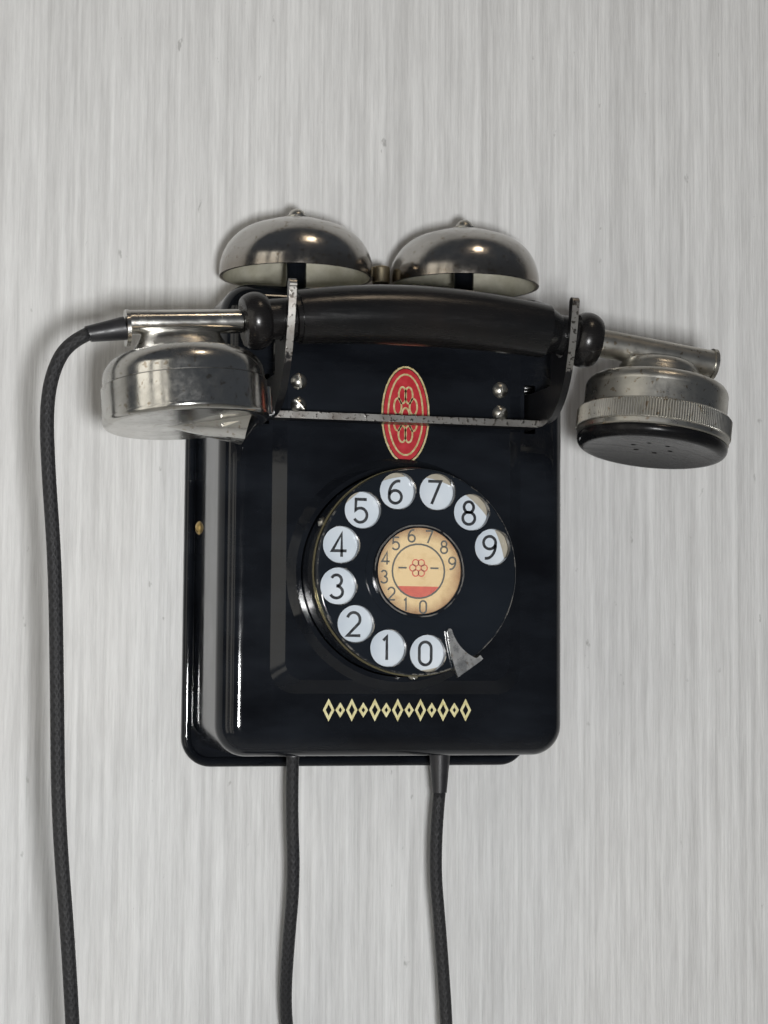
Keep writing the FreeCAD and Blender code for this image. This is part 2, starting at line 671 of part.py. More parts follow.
def make_dial_spring():
    """Flat spiral of half-circle turns about the shaft."""
    d0, d1 = 62, 66
    strip, pitch = 0.5, 1.6
    faces = []
    for i in range(12):
        shift = pitch / 4 * (1 if i % 2 == 0 else -1)
        r = 3.7 + pitch / 2 * i
        c = V(shift, 0, DIAL_Z)
        up = 1 if i % 2 == 0 else -1
        half = Part.Wire(chain([c + V(r, 0, 0), (c + V(0, 0, up * r), c + V(-r, 0, 0)),
                                c + V(-r - strip, 0, 0),
                                (c + V(0, 0, up * (r + strip)), c + V(r + strip, 0, 0))]))
        faces.append(Part.Face(half).extrude(OUT * (d1 - d0)))
    spring = fused(faces)
    spring.translate(OUT * d0)
    return spring


def make_number_plate():
    plate = rod_out(PLATE_SHIFT_X, DIAL_Z + PLATE_SHIFT_Z, DIAL_CASE_FRONT_D, DIAL_CASE_FRONT_D + 0.6,
                    NUMBER_PLATE_R)
    return plate.cut(rod_out(0, DIAL_Z, DIAL_CASE_FRONT_D - 1, DIAL_CASE_FRONT_D + 2, 12))


def finger_angles():
    return [FINGER_FIRST_DEG + FINGER_STEP_DEG * n for n in range(FINGER_HOLES)]


def make_finger_wheel():
    back_d = WHEEL_FRONT_D - WHEEL_T
    disc = rod_out(0, DIAL_Z, back_d, WHEEL_FRONT_D, WHEEL_R)
    rim = [e for e in disc.Edges if abs(e.BoundBox.YMin + WHEEL_FRONT_D) < 1e-6
           and e.BoundBox.YLength < 1e-6]
    disc = disc.makeFillet(1.2, rim)
    skirt = ring_out(0, DIAL_Z, back_d - 1.4, back_d + 0.1, WHEEL_R, WHEEL_R - 0.9)
    parts = [disc, skirt]
    for a in finger_angles():
        c = polar(FINGER_CIRCLE_R, a, back_d - 1.2)
        parts.append(Part.makeCylinder(FINGER_HOLE_R + 0.8, 1.3, c, OUT))
    hub = rod_out(0, DIAL_Z, WHEEL_FRONT_D - 0.1, WHEEL_FRONT_D + 0.5, 20.2)
    wheel = fused(parts + [hub])
    holes = [Part.makeCylinder(FINGER_HOLE_R, 10, polar(FINGER_CIRCLE_R, a, 86), OUT)
             for a in finger_angles()]
    holes += [Part.makeCone(FINGER_HOLE_R, FINGER_HOLE_R + 2 * HOLE_CHAMFER, 2 * HOLE_CHAMFER,
                            polar(FINGER_CIRCLE_R, a, WHEEL_FRONT_D - HOLE_CHAMFER), OUT)
              for a in finger_angles()]
    holes.append(rod_out(0, DIAL_Z, 80, 100, SHAFT_R))
    return cut_all(wheel, holes)


def make_card_holder():
    d = WHEEL_FRONT_D + 0.5
    return fused([ring_out(0, DIAL_Z, d, d + 2.2, CARD_HOLDER_R, CARD_R),
                  ring_out(0, DIAL_Z, d + 1.5, d + 2.2, CARD_HOLDER_R, CARD_R - 0.6)])


def make_dial_card():
    d = WHEEL_FRONT_D + 0.5
    return rod_out(0, DIAL_Z, d, d + 0.4, CARD_R - 0.1)


def make_card_window():
    d = WHEEL_FRONT_D + 0.5
    return rod_out(0, DIAL_Z, d + 0.6, d + 1.4, CARD_R - 0.1)


def make_finger_stop():
    d0, d1 = WHEEL_FRONT_D + 0.9, WHEEL_FRONT_D + 2.2

    def p(radius, deg):
        return polar(radius, deg, d0)

    fin = Part.Face(Part.Wire(chain([
        p(24.9, 63.6), (p(24.3, 61.6), p(25.6, 59.8)), (p(32.3, 59.9), p(41.1, 53.4)),
        p(42.3, 68.9), (p(32.0, 67.4), p(24.9, 63.6))]))).extrude(OUT * (d1 - d0))
    band = ring_out(0, DIAL_Z, 78, d1 - 0.2, 41.0, DIAL_CASE_R)
    wedge = Part.Face(Part.makePolygon([polar(10, STOP_DEG, 70), polar(70, STOP_DEG - 7, 70),
                                        polar(70, STOP_DEG + 7, 70), polar(10, STOP_DEG, 70)]))
    return fused([fin, band.common(wedge.extrude(OUT * 40))])


# ---- circuit ------------------------------------------------------------------------------------
def make_induction_coil():
    body = rod_x(-30, 30, 16, -52, 10)
    cheeks = [block(x, x + 3, PLATE_T, 28, -64, -40) for x in (-33, 30)]
    return fused([body] + cheeks)


def make_capacitor():
    can = block(-34, 10, PLATE_T, 20, -32, -4)
    return can.makeFillet(1.5, [e for e in can.Edges if e.BoundBox.YLength > 10])


def make_terminal_block():
    strip = block(-42, 42, PLATE_T, 9, -82, -70)
    ribs = [block(x, x + 1.5, 9, 12, -82, -70) for x in range(-37, 42, 12)]
    return fused([strip] + ribs)


def make_terminal_screws():
    return Part.makeCompound([slotted_head(at(x, 9, -76), OUT, 2.6, 2.0, V(1, 0, 0))
                              for x in range(-30, 31, 12)])


# ---- handset ------------------------------------------------------------------------------------
def handle_z(x):
    return HANDLE_MID_Z - x * x / (2 * HANDLE_BOW_R)


def rest_in_cradle(shape):
    """Lays a handset piece in the cradle: faces turned a little outward, left end a little high."""
    shape.rotate(at(0, HANDSET_D, NOTCH_Z), V(1, 0, 0), -HANDSET_TILT_DEG)
    shape.rotate(at(0, HANDSET_D, NOTCH_Z), V(0, 1, 0), HANDSET_ROLL_DEG)
    shape.translate(V(HANDSET_X, 0, HANDSET_RISE))
    return shape


def handle_end(x0, base_z, collar):
    """Turned end of the handle: a collar or a cone beside the grip, the neck and the bead."""
    def p(x, r):
        return at(x, HANDSET_D, base_z + r)

    end = turned(chain([p(x0 - 3, 0), p(x0 - 3, 9.2)] + [p(x0 + x, r) for x, r in collar] + [
        p(BEAD_X - BEAD_HALF_T, NECK_R), p(BEAD_X - BEAD_HALF_T + 0.4, 8.9),
        (p(BEAD_X, HANDLE_BEAD_R), p(BEAD_X + BEAD_HALF_T - 0.4, 8.9)),
        (p(BEAD_X + BEAD_HALF_T, 7.4), p(BEAD_X + BEAD_HALF_T + 0.2, 6.0)),
        p(BEAD_X + BEAD_HALF_T + 0.2, 0)]), at(0, HANDSET_D, base_z), V(1, 0, 0))
    end.rotate(at(x0, HANDSET_D, base_z), V(0, 1, 0), HANDLE_END_SLOPE_DEG)
    return end


def make_handle():
    sections = []
    for i in range(-2, 3):
        x = HANDLE_HALF * i / 2
        r = HANDLE_END_R + (HANDLE_MID_R - HANDLE_END_R) * (1 - (i / 2) ** 2)
        normal = V(1, 0, -x / HANDLE_BOW_R)
        sections.append(Part.Wire(Part.makeCircle(r, at(x, HANDSET_D, handle_z(x)), normal)))
    grip = Part.makeLoft(sections, True, False)
    x0 = HANDLE_HALF - 1
    base_z = handle_z(x0)
    left = handle_end(x0, base_z, [(2.7, 9.0), (3.0, NECK_R)])
    right = handle_end(x0, base_z, [(1.2, 9.2), (5.6, NECK_R)])
    return rest_in_cradle(fused([grip, right, mirrored(left)]))


def tube_origin_z():
    """Height of a bead's centre, where the nickel tube starts."""
    slope = math.tan(math.radians(HANDLE_END_SLOPE_DEG))
    return handle_z(HANDLE_HALF - 1) - (BEAD_X - HANDLE_HALF + 1) * slope


def end_piece(shape, side):
    """Places a piece built on the tube's axis at the capsule, x outward, and droops it."""
    droop = LEFT_DROOP_DEG if side < 0 else RIGHT_DROOP_DEG
    if side < 0:
        shape = mirrored(shape)
    z0 = tube_origin_z()
    shape.translate(V(0, 0, z0))
    shape.rotate(at(side * BEAD_X, HANDSET_D, z0), V(0, 1, 0), side * droop)
    return rest_in_cradle(shape)


def make_tube(side):
    r = LEFT_TUBE_R if side < 0 else RIGHT_TUBE_R
    end_x = LEFT_TUBE_END_X if side < 0 else RIGHT_TUBE_END_X
    tube = rod_x(BEAD_X + BEAD_HALF_T + 0.2, end_x, HANDSET_D, 0, r)
    if side < 0:
        flange = rod_x(end_x - 1.4, end_x, HANDSET_D, -FLANGE_DROP, FLANGE_R)
        return end_piece(tube.fuse(flange), side)
    lip = rod_x(end_x - 1.4, end_x, HANDSET_D, 0, r + 0.7)
    return end_piece(tube.fuse(lip).cut(rod_x(end_x - 8, end_x + 1, HANDSET_D, 0, r - 1)), side)


def shell_of(side, outline_points):
    """A turned capsule part from (r, h) points, h measured down from the tube's axis."""
    capsule_x = LEFT_CAPSULE_X if side < 0 else RIGHT_CAPSULE_X

    def p(r, h):
        return at(capsule_x + r, HANDSET_D, -h)

    points = []
    for item in outline_points:
        if len(item) == 4:
            points.append((p(item[0], item[1]), p(item[2], item[3])))
        else:
            points.append(p(*item))
    return turned(chain(points), at(capsule_x, HANDSET_D, 0), V(0, 0, 1))


def oval(x, h, half_x, half_d):
    ellipse = Part.Ellipse(at(x, HANDSET_D, -h), half_x, half_d).toShape()
    return Part.Wire(ellipse)


def oval_boss():
    """Flared oval foot between the left tube and the transmitter's top."""
    x = LEFT_CAPSULE_X
    foot = Part.makeLoft([oval(x, 13.2, 20.8, 14.0), oval(x, 10.4, 18.0, 9.6), oval(x, 6.8, 15.4, 5.6),
                          oval(x, 3.4, 13.8, 2.6)], True, False)
    return foot.cut(rod_x(60, 120, HANDSET_D, 0, LEFT_TUBE_R))


def round_boss():
    """Low round foot between the right tube and the receiver's top."""
    boss = shell_of(1, [(0, 3.4), (11.0, 3.4), (14.4, 4.8, 15.8, 7.6), (16.4, 9.8, 16.8, 12.2), (0, 12.2)])
    return boss.cut(rod_x(60, 125, HANDSET_D, 0, RIGHT_TUBE_R))


def make_transmitter_housing():
    shell = shell_of(-1, [(0, 12.6), (20.4, 12.6), (26.6, 15.1, 29.0, 21.2), (29.0, 24.4), (27.8, 24.4),
                          (27.8, 21.4), (25.6, 16.0, 20.2, 13.8), (0, 13.8)])
    return end_piece(fused([shell, oval_boss()]), -1)


def hood(x, shrink):
    """Half cone on the transmitter's face, from a point at the outer side to a slanted rounded end."""
    h = CAP_LOW_H - 1.2

    def half_ellipse(at_x, half_d, rise):
        return Part.Wire(chain([at(at_x, HANDSET_D - half_d, -h),
                                (at(at_x, HANDSET_D, -h - rise), at(at_x, HANDSET_D + half_d, -h))]))

    wide, rise = HOOD_HALF_W - shrink, HOOD_RISE + 1.2 - shrink
    cone = Part.makeLoft([half_ellipse(x + 10.0 - 2 * shrink, 0.6, 0.3), half_ellipse(x - 27.0, wide, rise)],
                         True, True)
    end = Part.makeCone(26.2 - shrink, 17.4 - shrink, rise + 1, at(x, HANDSET_D, -h + 0.1), V(0, 0, -1))
    return cone.common(end)


def make_transmitter_cap():
    h = CAP_LOW_H
    shell = shell_of(-1, [(29.1, 23.8), (29.7, 23.8), (29.7, h - 3.4), (29.2, h - 1.5, 27.4, h - 0.8),
                          (0, h), (0, h - 1.2), (27.0, h - 2.0), (28.5, h - 3.4), (28.5, 24.5),
                          (29.1, 24.5)])
    x = LEFT_CAPSULE_X
    lug = rod_z(x - 29.4, HANDSET_D, -34.4, -24.8, 2.2).cut(rod_z(x, HANDSET_D, -36, -20, 28.7))
    cap = fused([shell, lug, hood(x, 0.0)]).cut(hood(x, 1.1))
    slots = []
    for angle in HOOD_SLOT_DEG:
        slot = block(x - 30, x - 14, HANDSET_D - 0.6, HANDSET_D + 0.6, -h - HOOD_RISE + 2.4, -h - 0.6)
        slot.rotate(at(x, HANDSET_D, 0), V(0, 0, 1), angle)
        slots.append(slot)
    return end_piece(cut_all(cap, slots), -1)


def make_carbon_capsule():
    body = shell_of(-1, [(0, 24.6), (10, 24.6), (10, 26.5), (24, 26.5), (24, 34.4), (0, 34.4)])
    return end_piece(body, -1)


def make_receiver_housing():
    shell = shell_of(1, [(0, 11.6), (22, 11.6), (26.0, 12.8, 27.2, 16.6), (27.2, 33.0), (26.0, 33.0),
                         (26.0, 16.8), (24.9, 14.0, 21.8, 12.8), (0, 12.8)])
    return end_piece(fused([shell, round_boss()]), 1)


def make_receiver_ring():
    return end_piece(shell_of(1, [(27.3, 24.4), (29.0, 24.4), (29.4, 25.0), (29.4, 31.8), (28.8, 32.3),
                                  (28.7, 34.0), (28.2, 34.4), (27.3, 34.4)]), 1)


def make_ear_cap():
    cap = shell_of(1, [(0, 35.2), (24.5, 35.2), (24.5, 34.5), (28.2, 34.5), (28.5, 35.2),
                       (27.9, 37.5, 24.6, 38.8), (12.0, 37.2, 3.0, 36.8), (0, 36.8)])
    x = RIGHT_CAPSULE_X
    holes = []
    for i in range(6):
        a = math.radians(60 * i)
        holes.append(rod_z(x + 7.5 * math.cos(a), HANDSET_D + 7.5 * math.sin(a), -45, -30, 1.0))
    return end_piece(cut_all(cap, holes), 1)


def make_diaphragm():
    return end_piece(shell_of(1, [(0, 34.2), (24.3, 34.2), (24.3, 34.5), (0, 34.5)]), 1)


def make_receiver_magnet():
    return end_piece(shell_of(1, [(14, 14.5), (23, 14.5), (23, 26.5), (14, 26.5)]), 1)


def make_receiver_coils():
    x, y = RIGHT_CAPSULE_X, HANDSET_D
    coils = []
    for s in (-1, 1):
        core = block(x + s * 6 - 2, x + s * 6 + 2, y - 6, y + 6, -33.8, -14)
        bobbin = block(x + s * 6 - 4, x + s * 6 + 4, y - 8, y + 8, -31, -21)
        coils.append(end_piece(fused([core, bobbin]), 1))
    return Part.makeCompound(coils)


# ---- cords --------------------------------------------------------------------------------------
def make_handset_relief():
    """Taper from the tube's end; its tip is cut square to the cord's first run."""
    start = at(*RELIEF_START)
    end, following = at(*HANDSET_CORD_ROUTE[0]), at(*HANDSET_CORD_ROUTE[1])
    axis = (end - start).normalize()
    taper = Part.makeCone(4.3, 2.8, (end - start).Length + 1.2, start, axis)
    run = (following - end).normalize()
    return taper.cut(Part.makeCylinder(8, 10, end - run * 0.05, run))


def make_case_relief():
    x, d, z = HANDSET_CORD_ROUTE[-1]
    taper = Part.makeCone(4.3, 2.9, CASE_LOW - z, at(x, d, CASE_LOW), V(0, 0, -1))
    neck = rod_z(x, d, CASE_LOW, CASE_LOW + CASE_T, 3.9)
    flange = rod_z(x, d, CASE_LOW + CASE_T, CASE_LOW + 4, 6.0)
    return fused([taper, neck, flange])


def make_line_grommet():
    body = fused([rod_z(LINE_CORD_X, CORD_D, CASE_LOW - 1.4, CASE_LOW, 4.8),
                  rod_z(LINE_CORD_X, CORD_D, CASE_LOW, CASE_LOW + CASE_T, 3.9),
                  rod_z(LINE_CORD_X, CORD_D, CASE_LOW + CASE_T, CASE_LOW + 3, 4.8)])
    return body.cut(rod_z(LINE_CORD_X, CORD_D, CASE_LOW - 5, CASE_LOW + 5, CORD_R + 0.1))


def make_line_coil():
    """Outer shape of the neat coil that the spare line cord is wound into."""
    r0, r1 = COIL_MEAN_R - 5.2, COIL_MEAN_R + 5.2
    return ring_out(LINE_CORD_X, COIL_Z, 2.0, 17.4, r1, r0)


def make_line_plug():
    top = COIL_Z - COIL_MEAN_R - 5.4
    x, d = LINE_CORD_X, 13.0
    body = fused([rod_z(x, d, top - 5, top, 4.0), rod_z(x, d, top - 24, top - 5, 9.5)])
    pins = [rod_z(x + sx, d, top - 36, top - 24, 1.6) for sx in (-4.5, 4.5)]
    return fused([body] + pins)


# ---- write every node ---------------------------------------------------------------------------
def main():
    os.makedirs("parts", exist_ok=True)
    nodes = {
        "wall_plate": make_wall_plate(), "cover": make_cover(), "cover_screws": make_cover_screws(),
        "cradle": make_cradle(), "hook_brackets": make_hook_brackets(), "hook_pins": make_hook_pins(),
        "hook_springs": make_hook_springs(), "cradle_screws": make_cradle_screws(),
        "hook_contacts": make_hook_contacts(),
        "gong_left": make_gong(-1), "gong_right": make_gong(1), "gong_posts": make_gong_posts(),
        "gong_screws": make_gong_screws(), "ringer_frame": make_ringer_frame(),
        "ringer_cores": make_ringer_cores(), "ringer_coils": make_ringer_coils(),
        "ringer_magnet": make_ringer_magnet(), "armature": make_armature(),
        "armature_pin": make_armature_pin(), "clapper_rod": make_clapper_rod(), "hammer": make_hammer(),
        "dial_case": make_dial_case(), "dial_screws": make_dial_screws(), "dial_frame": make_dial_frame(),
        "main_gear": make_main_gear(), "pulse_pinion": make_pulse_pinion(), "pulse_cam": make_pulse_cam(),
        "pulse_contacts": make_pulse_contacts(), "governor": make_governor(),
        "dial_shaft": make_dial_shaft(), "dial_spring": make_dial_spring(),
        "number_plate": make_number_plate(), "finger_wheel": make_finger_wheel(),
        "card_holder": make_card_holder(), "dial_card": make_dial_card(),
        "card_window": make_card_window(), "finger_stop": make_finger_stop(),
        "induction_coil": make_induction_coil(), "capacitor": make_capacitor(),
        "terminal_block": make_terminal_block(), "terminal_screws": make_terminal_screws(),
        "handle": make_handle(), "transmitter_tube": make_tube(-1), "receiver_tube": make_tube(1),
        "transmitter_housing": make_transmitter_housing(), "transmitter_cap": make_transmitter_cap(),
        "carbon_capsule": make_carbon_capsule(), "receiver_housing": make_receiver_housing(),
        "receiver_ring": make_receiver_ring(), "ear_cap": make_ear_cap(), "diaphragm": make_diaphragm(),
        "receiver_magnet": make_receiver_magnet(), "receiver_coils": make_receiver_coils(),
        "handset_relief": make_handset_relief(), "case_relief": make_case_relief(),
        "handset_cord": tube_along(HANDSET_CORD_ROUTE, CORD_R),
        "line_cord": tube_along(LINE_CORD_ROUTE, CORD_R), "line_grommet": make_line_grommet(),
        "line_coil": make_line_coil(), "line_plug": make_line_plug(),
    }
    for name, shape in nodes.items():
        if not shape.isValid():
            print("not valid:", name)
        shape.exportStep("parts/%s.step" % name)
    print(len(nodes), "nodes")


main()
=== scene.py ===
"""Looks of the rotary wall telephone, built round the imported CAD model, in metres in the model's frame.

X runs to the telephone's right as it is seen, Y into the wall and Z up. The wall's face is at Y = 0.
"""
import math

import bmesh
import bpy
from mathutils import Matrix, Vector


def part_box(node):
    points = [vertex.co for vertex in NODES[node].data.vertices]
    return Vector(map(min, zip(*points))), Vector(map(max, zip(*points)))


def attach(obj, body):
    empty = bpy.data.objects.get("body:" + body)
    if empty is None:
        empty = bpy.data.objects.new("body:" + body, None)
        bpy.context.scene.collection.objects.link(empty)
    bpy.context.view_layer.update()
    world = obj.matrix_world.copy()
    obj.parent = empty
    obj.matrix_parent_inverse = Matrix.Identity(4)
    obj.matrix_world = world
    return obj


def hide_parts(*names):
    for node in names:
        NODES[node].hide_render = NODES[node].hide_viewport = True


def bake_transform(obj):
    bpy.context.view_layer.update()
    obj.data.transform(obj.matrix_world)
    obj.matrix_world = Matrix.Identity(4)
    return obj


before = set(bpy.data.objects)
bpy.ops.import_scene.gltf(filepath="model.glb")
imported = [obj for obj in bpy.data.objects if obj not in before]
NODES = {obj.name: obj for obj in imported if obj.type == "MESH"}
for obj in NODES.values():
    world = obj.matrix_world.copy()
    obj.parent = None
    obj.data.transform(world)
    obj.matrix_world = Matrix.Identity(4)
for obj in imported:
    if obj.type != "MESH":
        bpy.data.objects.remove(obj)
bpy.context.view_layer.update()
MM = 0.001
DIAL_Z = -17.0  # height of the dial's axis in millimetres


def middle(node):
    """The centre of a CAD node's box."""
    low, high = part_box(node)
    return (low + high) / 2


# ---- camera -------------------------------------------------------------------------------------
CAMERA_AT = (-0.20107, -0.80695, -0.0499)
CAMERA_LENS, CAMERA_SENSOR, CAMERA_CLIP = 69.83, 36, 0.05
CAMERA_TURN, CAMERA_RISE, CAMERA_ROLL = 14.73, 4.24, 0.43  # degrees


def make_camera():
    """Below and left of the telephone, looking up and to the right, and a little rolled."""
    data = bpy.data.cameras.new("camera")
    data.sensor_width = CAMERA_SENSOR
    data.lens = CAMERA_LENS
    data.clip_start = CAMERA_CLIP
    camera = bpy.data.objects.new("camera", data)
    bpy.context.scene.collection.objects.link(camera)
    turn, rise, roll = (math.radians(a) for a in (CAMERA_TURN, CAMERA_RISE, CAMERA_ROLL))
    forward = Vector((math.sin(turn) * math.cos(rise), math.cos(turn) * math.cos(rise), math.sin(rise)))
    camera.rotation_mode = "QUATERNION"
    level = forward.to_track_quat("-Z", "Y")
    camera.rotation_quaternion = Matrix.Rotation(roll, 3, -forward).to_quaternion() @ level
    camera.location = CAMERA_AT
    bpy.context.scene.camera = camera


# ---- cords --------------------------------------------------------------------------------------
CORD_R, CORD_STEP = 2.5 * MM, 3 * MM

# Control points (x, depth out from the wall, z) in millimetres.
HANDSET_CORD = [
    (-125.5, 103.5, 64.6), (-132.3, 103.5, 61.2), (-137.6, 103.3, 51.0), (-139.6, 103.0, 37.0),
    (-138.2, 102.4, 14.0), (-135.2, 101.4, -18.0), (-133.6, 100.6, -62.0), (-132.2, 99.0, -106.0),
    (-127.6, 96.6, -150.0), (-124.0, 94.4, -198.0), (-120.4, 92.2, -250.0), (-112.0, 88.2, -300.0),
    (-92.0, 80.0, -343.0), (-59.0, 66.0, -368.0), (-21.0, 50.0, -367.0), (10.0, 37.4, -340.0),
    (27.0, 30.8, -298.0), (32.4, 28.4, -248.0), (31.6, 28.6, -200.0), (28.2, 29.4, -160.0),
    (25.0, 29.8, -128.0), (27.3, 30.0, -103.5)]
LINE_CORD = [
    (-33.4, 30.0, -84.0), (-33.9, 30.0, -108.0), (-32.2, 29.4, -136.0), (-33.6, 25.8, -163.0),
    (-33.0, 17.2, -187.0), (-29.6, 11.6, -207.4)]


def route_points(route):
    """(x, depth out from the wall, z) in millimetres as points in the model's frame."""
    return [Vector((x * MM, -d * MM, z * MM)) for x, d, z in route]


def smooth_line(points):
    """The points that a NURBS spline with these control points runs along."""
    curve = bpy.data.curves.new("guide", "CURVE")
    curve.dimensions = "3D"
    curve.resolution_u = 8
    spline = curve.splines.new("NURBS")
    spline.points.add(len(points) - 1)
    for point, place in zip(spline.points, points):
        point.co = (*place, 1)
    spline.order_u = 3
    spline.use_endpoint_u = True
    guide = bpy.data.objects.new("guide", curve)
    bpy.context.scene.collection.objects.link(guide)
    mesh = bpy.data.meshes.new_from_object(guide)
    line = [v.co.copy() for v in mesh.vertices]
    bpy.data.meshes.remove(mesh)
    bpy.data.objects.remove(guide)
    bpy.data.curves.remove(curve)
    return line


# ---- material kit -------------------------------------------------------------------------------
NOISE_MIDDLE, NOISE_REACH = 0.5, 0.33  # where a noise texture centres and about how far up it reaches


class Paint:
    """A principled material with short calls for the texture nodes that feed it."""

    def __init__(self, name, rough=0.3, metal=0.0, **fixed):
        self.mat = bpy.data.materials.new(name)
        self.mat.use_nodes = True
        self.tree = self.mat.node_tree
        self.bsdf = self.tree.nodes["Principled BSDF"]
        self.set("Roughness", rough)
        self.set("Metallic", metal)
        for key, value in fixed.items():
            self.set(key.replace("_", " ").title().replace("Ior", "IOR"), value)
        self.coord = self.tree.nodes.new("ShaderNodeTexCoord")

    def set(self, socket, value):
        if hasattr(value, "is_output"):
            self.tree.links.new(value, self.bsdf.inputs[socket])
        else:
            self.bsdf.inputs[socket].default_value = value

    def node(self, kind, inputs=None, **settings):
        node = self.tree.nodes.new("ShaderNode" + kind)
        for key, value in settings.items():
            setattr(node, key, value)
        for key, value in (inputs or {}).items():
            if hasattr(value, "is_output"):
                self.tree.links.new(value, node.inputs[key])
            else:
                node.inputs[key].default_value = value
        return node

    def place(self, stretch=(1, 1, 1)):
        """The point in the model's frame, scaled by stretch."""
        point = self.coord.outputs["Object"]
        return self.node("Mapping", {"Vector": point, "Scale": stretch}).outputs[0]

    def noise(self, scale, detail=3.0, rough=0.5, stretch=(1, 1, 1)):
        where = self.place(stretch)
        return self.node("TexNoise", {"Vector": where, "Scale": scale, "Detail": detail,
                                      "Roughness": rough}).outputs["Fac"]

    def ramp(self, fac, low, high, a=0.0, b=1.0):
        """Maps fac from low..high to a..b and holds it there outside."""
        return self.node("MapRange", {"Value": fac, "From Min": low, "From Max": high,
                                      "To Min": a, "To Max": b}).outputs[0]

    def math(self, operation, a, b=0.0):
        return self.node("Math", {0: a, 1: b}, operation=operation).outputs[0]

    def times(self, a, b):
        return self.math("MULTIPLY", a, b)

    def mix(self, fac, a, b):
        """Colour a where fac is 0 and b where it is 1."""
        a, b = ((*c, 1) if isinstance(c, tuple) else c for c in (a, b))
        return self.node("Mix", {0: fac, 6: a, 7: b}, data_type="RGBA").outputs[2]

    def specks(self, scale, share, soft):
        """Small spots, 1 inside and 0 elsewhere; a larger share makes more of them."""
        edge = NOISE_MIDDLE + NOISE_REACH * (1 - share)
        return self.ramp(self.noise(scale, 2.0, 0.6), edge, edge + soft)

    def bump(self, height, strength, distance):
        node = self.node("Bump", {"Height": height, "Strength": strength, "Distance": distance})
        self.set("Normal", node.outputs[0])

    def part(self, axis):
        """One coordinate of the point in the model's frame, in metres."""
        split = self.node("SeparateXYZ", {"Vector": self.coord.outputs["Object"]})
        return split.outputs["XYZ".index(axis)]

    def facing(self, axis):
        """How much the surface faces along an axis, from -1 to 1, before any joint has moved it."""
        split = self.node("SeparateXYZ", {"Vector": self.coord.outputs["Normal"]})
        return split.outputs["XYZ".index(axis)]


# Base colours that several materials share.
# The lighter second colour on the next line is a painted bluish sheen that stands for reflections in the
# enamel.
ENAMEL_BLACK, ENAMEL_PAINTED_SHEEN = (0.0036, 0.0041, 0.0056), (0.0125, 0.0150, 0.0195)
# This blue is a painted bluish sheen as well, mixed into the finger wheel's enamel.
ENAMEL_SHEEN_BLUE = (0.012, 0.016, 0.022)
DUST, CHIP = (0.12, 0.12, 0.115), (0.20, 0.19, 0.17)
NICKEL_TONE = (0.56, 0.55, 0.52)
ENAMEL_SHINE = 0.32


def radius_about_dial(p):
    """Distance of the point from the dial's axis, in metres."""
    across = p.math("POWER", p.part("X"), 2.0)
    up = p.math("POWER", p.math("SUBTRACT", p.part("Z"), DIAL_Z * MM), 2.0)
    return p.math("SQRT", p.math("ADD", across, up))


def enamel_layers(p):
    """Colour and roughness of glossy stove enamel: dust, faint wiping marks, a few chips and patches of
    painted bluish sheen.
    """
    dust = p.specks(900, 0.10, 0.08)
    haze = p.ramp(p.noise(16, 4, 0.6, (1, 1, 2.5)), 0.35, 0.75)
    wipes = p.ramp(p.noise(60, 3, 0.7, (12, 6, 0.7)), 0.5, 0.75)
    chips = p.specks(180, 0.02, 0.02)
    # Where the haze mask is high the colour turns to a painted bluish sheen that stands for reflections;
    # the same mask also roughens the enamel below.
    colour = p.mix(haze, ENAMEL_BLACK, ENAMEL_PAINTED_SHEEN)
    colour = p.mix(p.times(dust, 0.16), colour, DUST)
    colour = p.mix(p.times(chips, 0.7), colour, CHIP)
    base = p.ramp(haze, 0, 1, 0.045, 0.12)
    rough = p.math("ADD", base, p.times(wipes, 0.06))
    p.bump(p.noise(220, 2, 0.5), 0.04, 0.00012)
    return colour, p.math("ADD", rough, p.times(dust, 0.3))


def black_enamel():
    """Glossy black stove enamel."""
    p = Paint("black_enamel", specular_ior_level=ENAMEL_SHINE)
    colour, rough = enamel_layers(p)
    p.set("Base Color", colour)
    p.set("Roughness", rough)
    return p.mat


def edge_worn_enamel(name):
    """Stove enamel rubbed through to metal on edges that slope between front and side, with a painted
    bluish sheen mixed in.
    """
    p = Paint(name, specular_ior_level=ENAMEL_SHINE)
    colour, rough = enamel_layers(p)
    slope = p.math("ABSOLUTE", p.facing("Y"))
    on_edge = p.times(p.ramp(slope, 0.40, 0.55), p.ramp(slope, 0.93, 0.80))
    ragged = p.ramp(p.noise(170, 4, 0.7), 0.53, 0.58)
    worn = p.times(on_edge, ragged)
    # Half of this colour is a painted bluish sheen that stands for reflections in the wheel's enamel.
    sheen_tinted = p.mix(0.5, colour, ENAMEL_SHEEN_BLUE)
    p.set("Base Color", p.mix(worn, sheen_tinted, (0.36, 0.345, 0.32)))
    p.set("Metallic", worn)
    p.set("Roughness", p.math("ADD", rough, p.times(worn, 0.14)))
    return p.mat


def card_holder_finish():
    """Black bezel whose inner edge is rubbed to bare metal all the way round."""
    p = Paint("card_holder_finish", coat_weight=0.15, coat_roughness=0.08)
    colour, rough = enamel_layers(p)
    ragged = p.times(p.math("SUBTRACT", p.noise(160, 4, 0.7), 0.5), 0.0010)
    radius = p.math("ADD", radius_about_dial(p), ragged)
    inner, outer, fade = 0.01675, 0.01735, 0.00015
    worn = p.times(p.ramp(radius, inner, inner + fade), p.ramp(radius, outer, outer - fade))
    patchy = p.times(worn, p.ramp(p.noise(90, 3), 0.40, 0.55))
    p.set("Base Color", p.mix(patchy, colour, (0.50, 0.48, 0.44)))
    p.set("Metallic", patchy)
    p.set("Roughness", p.math("ADD", rough, p.times(patchy, 0.14)))
    return p.mat


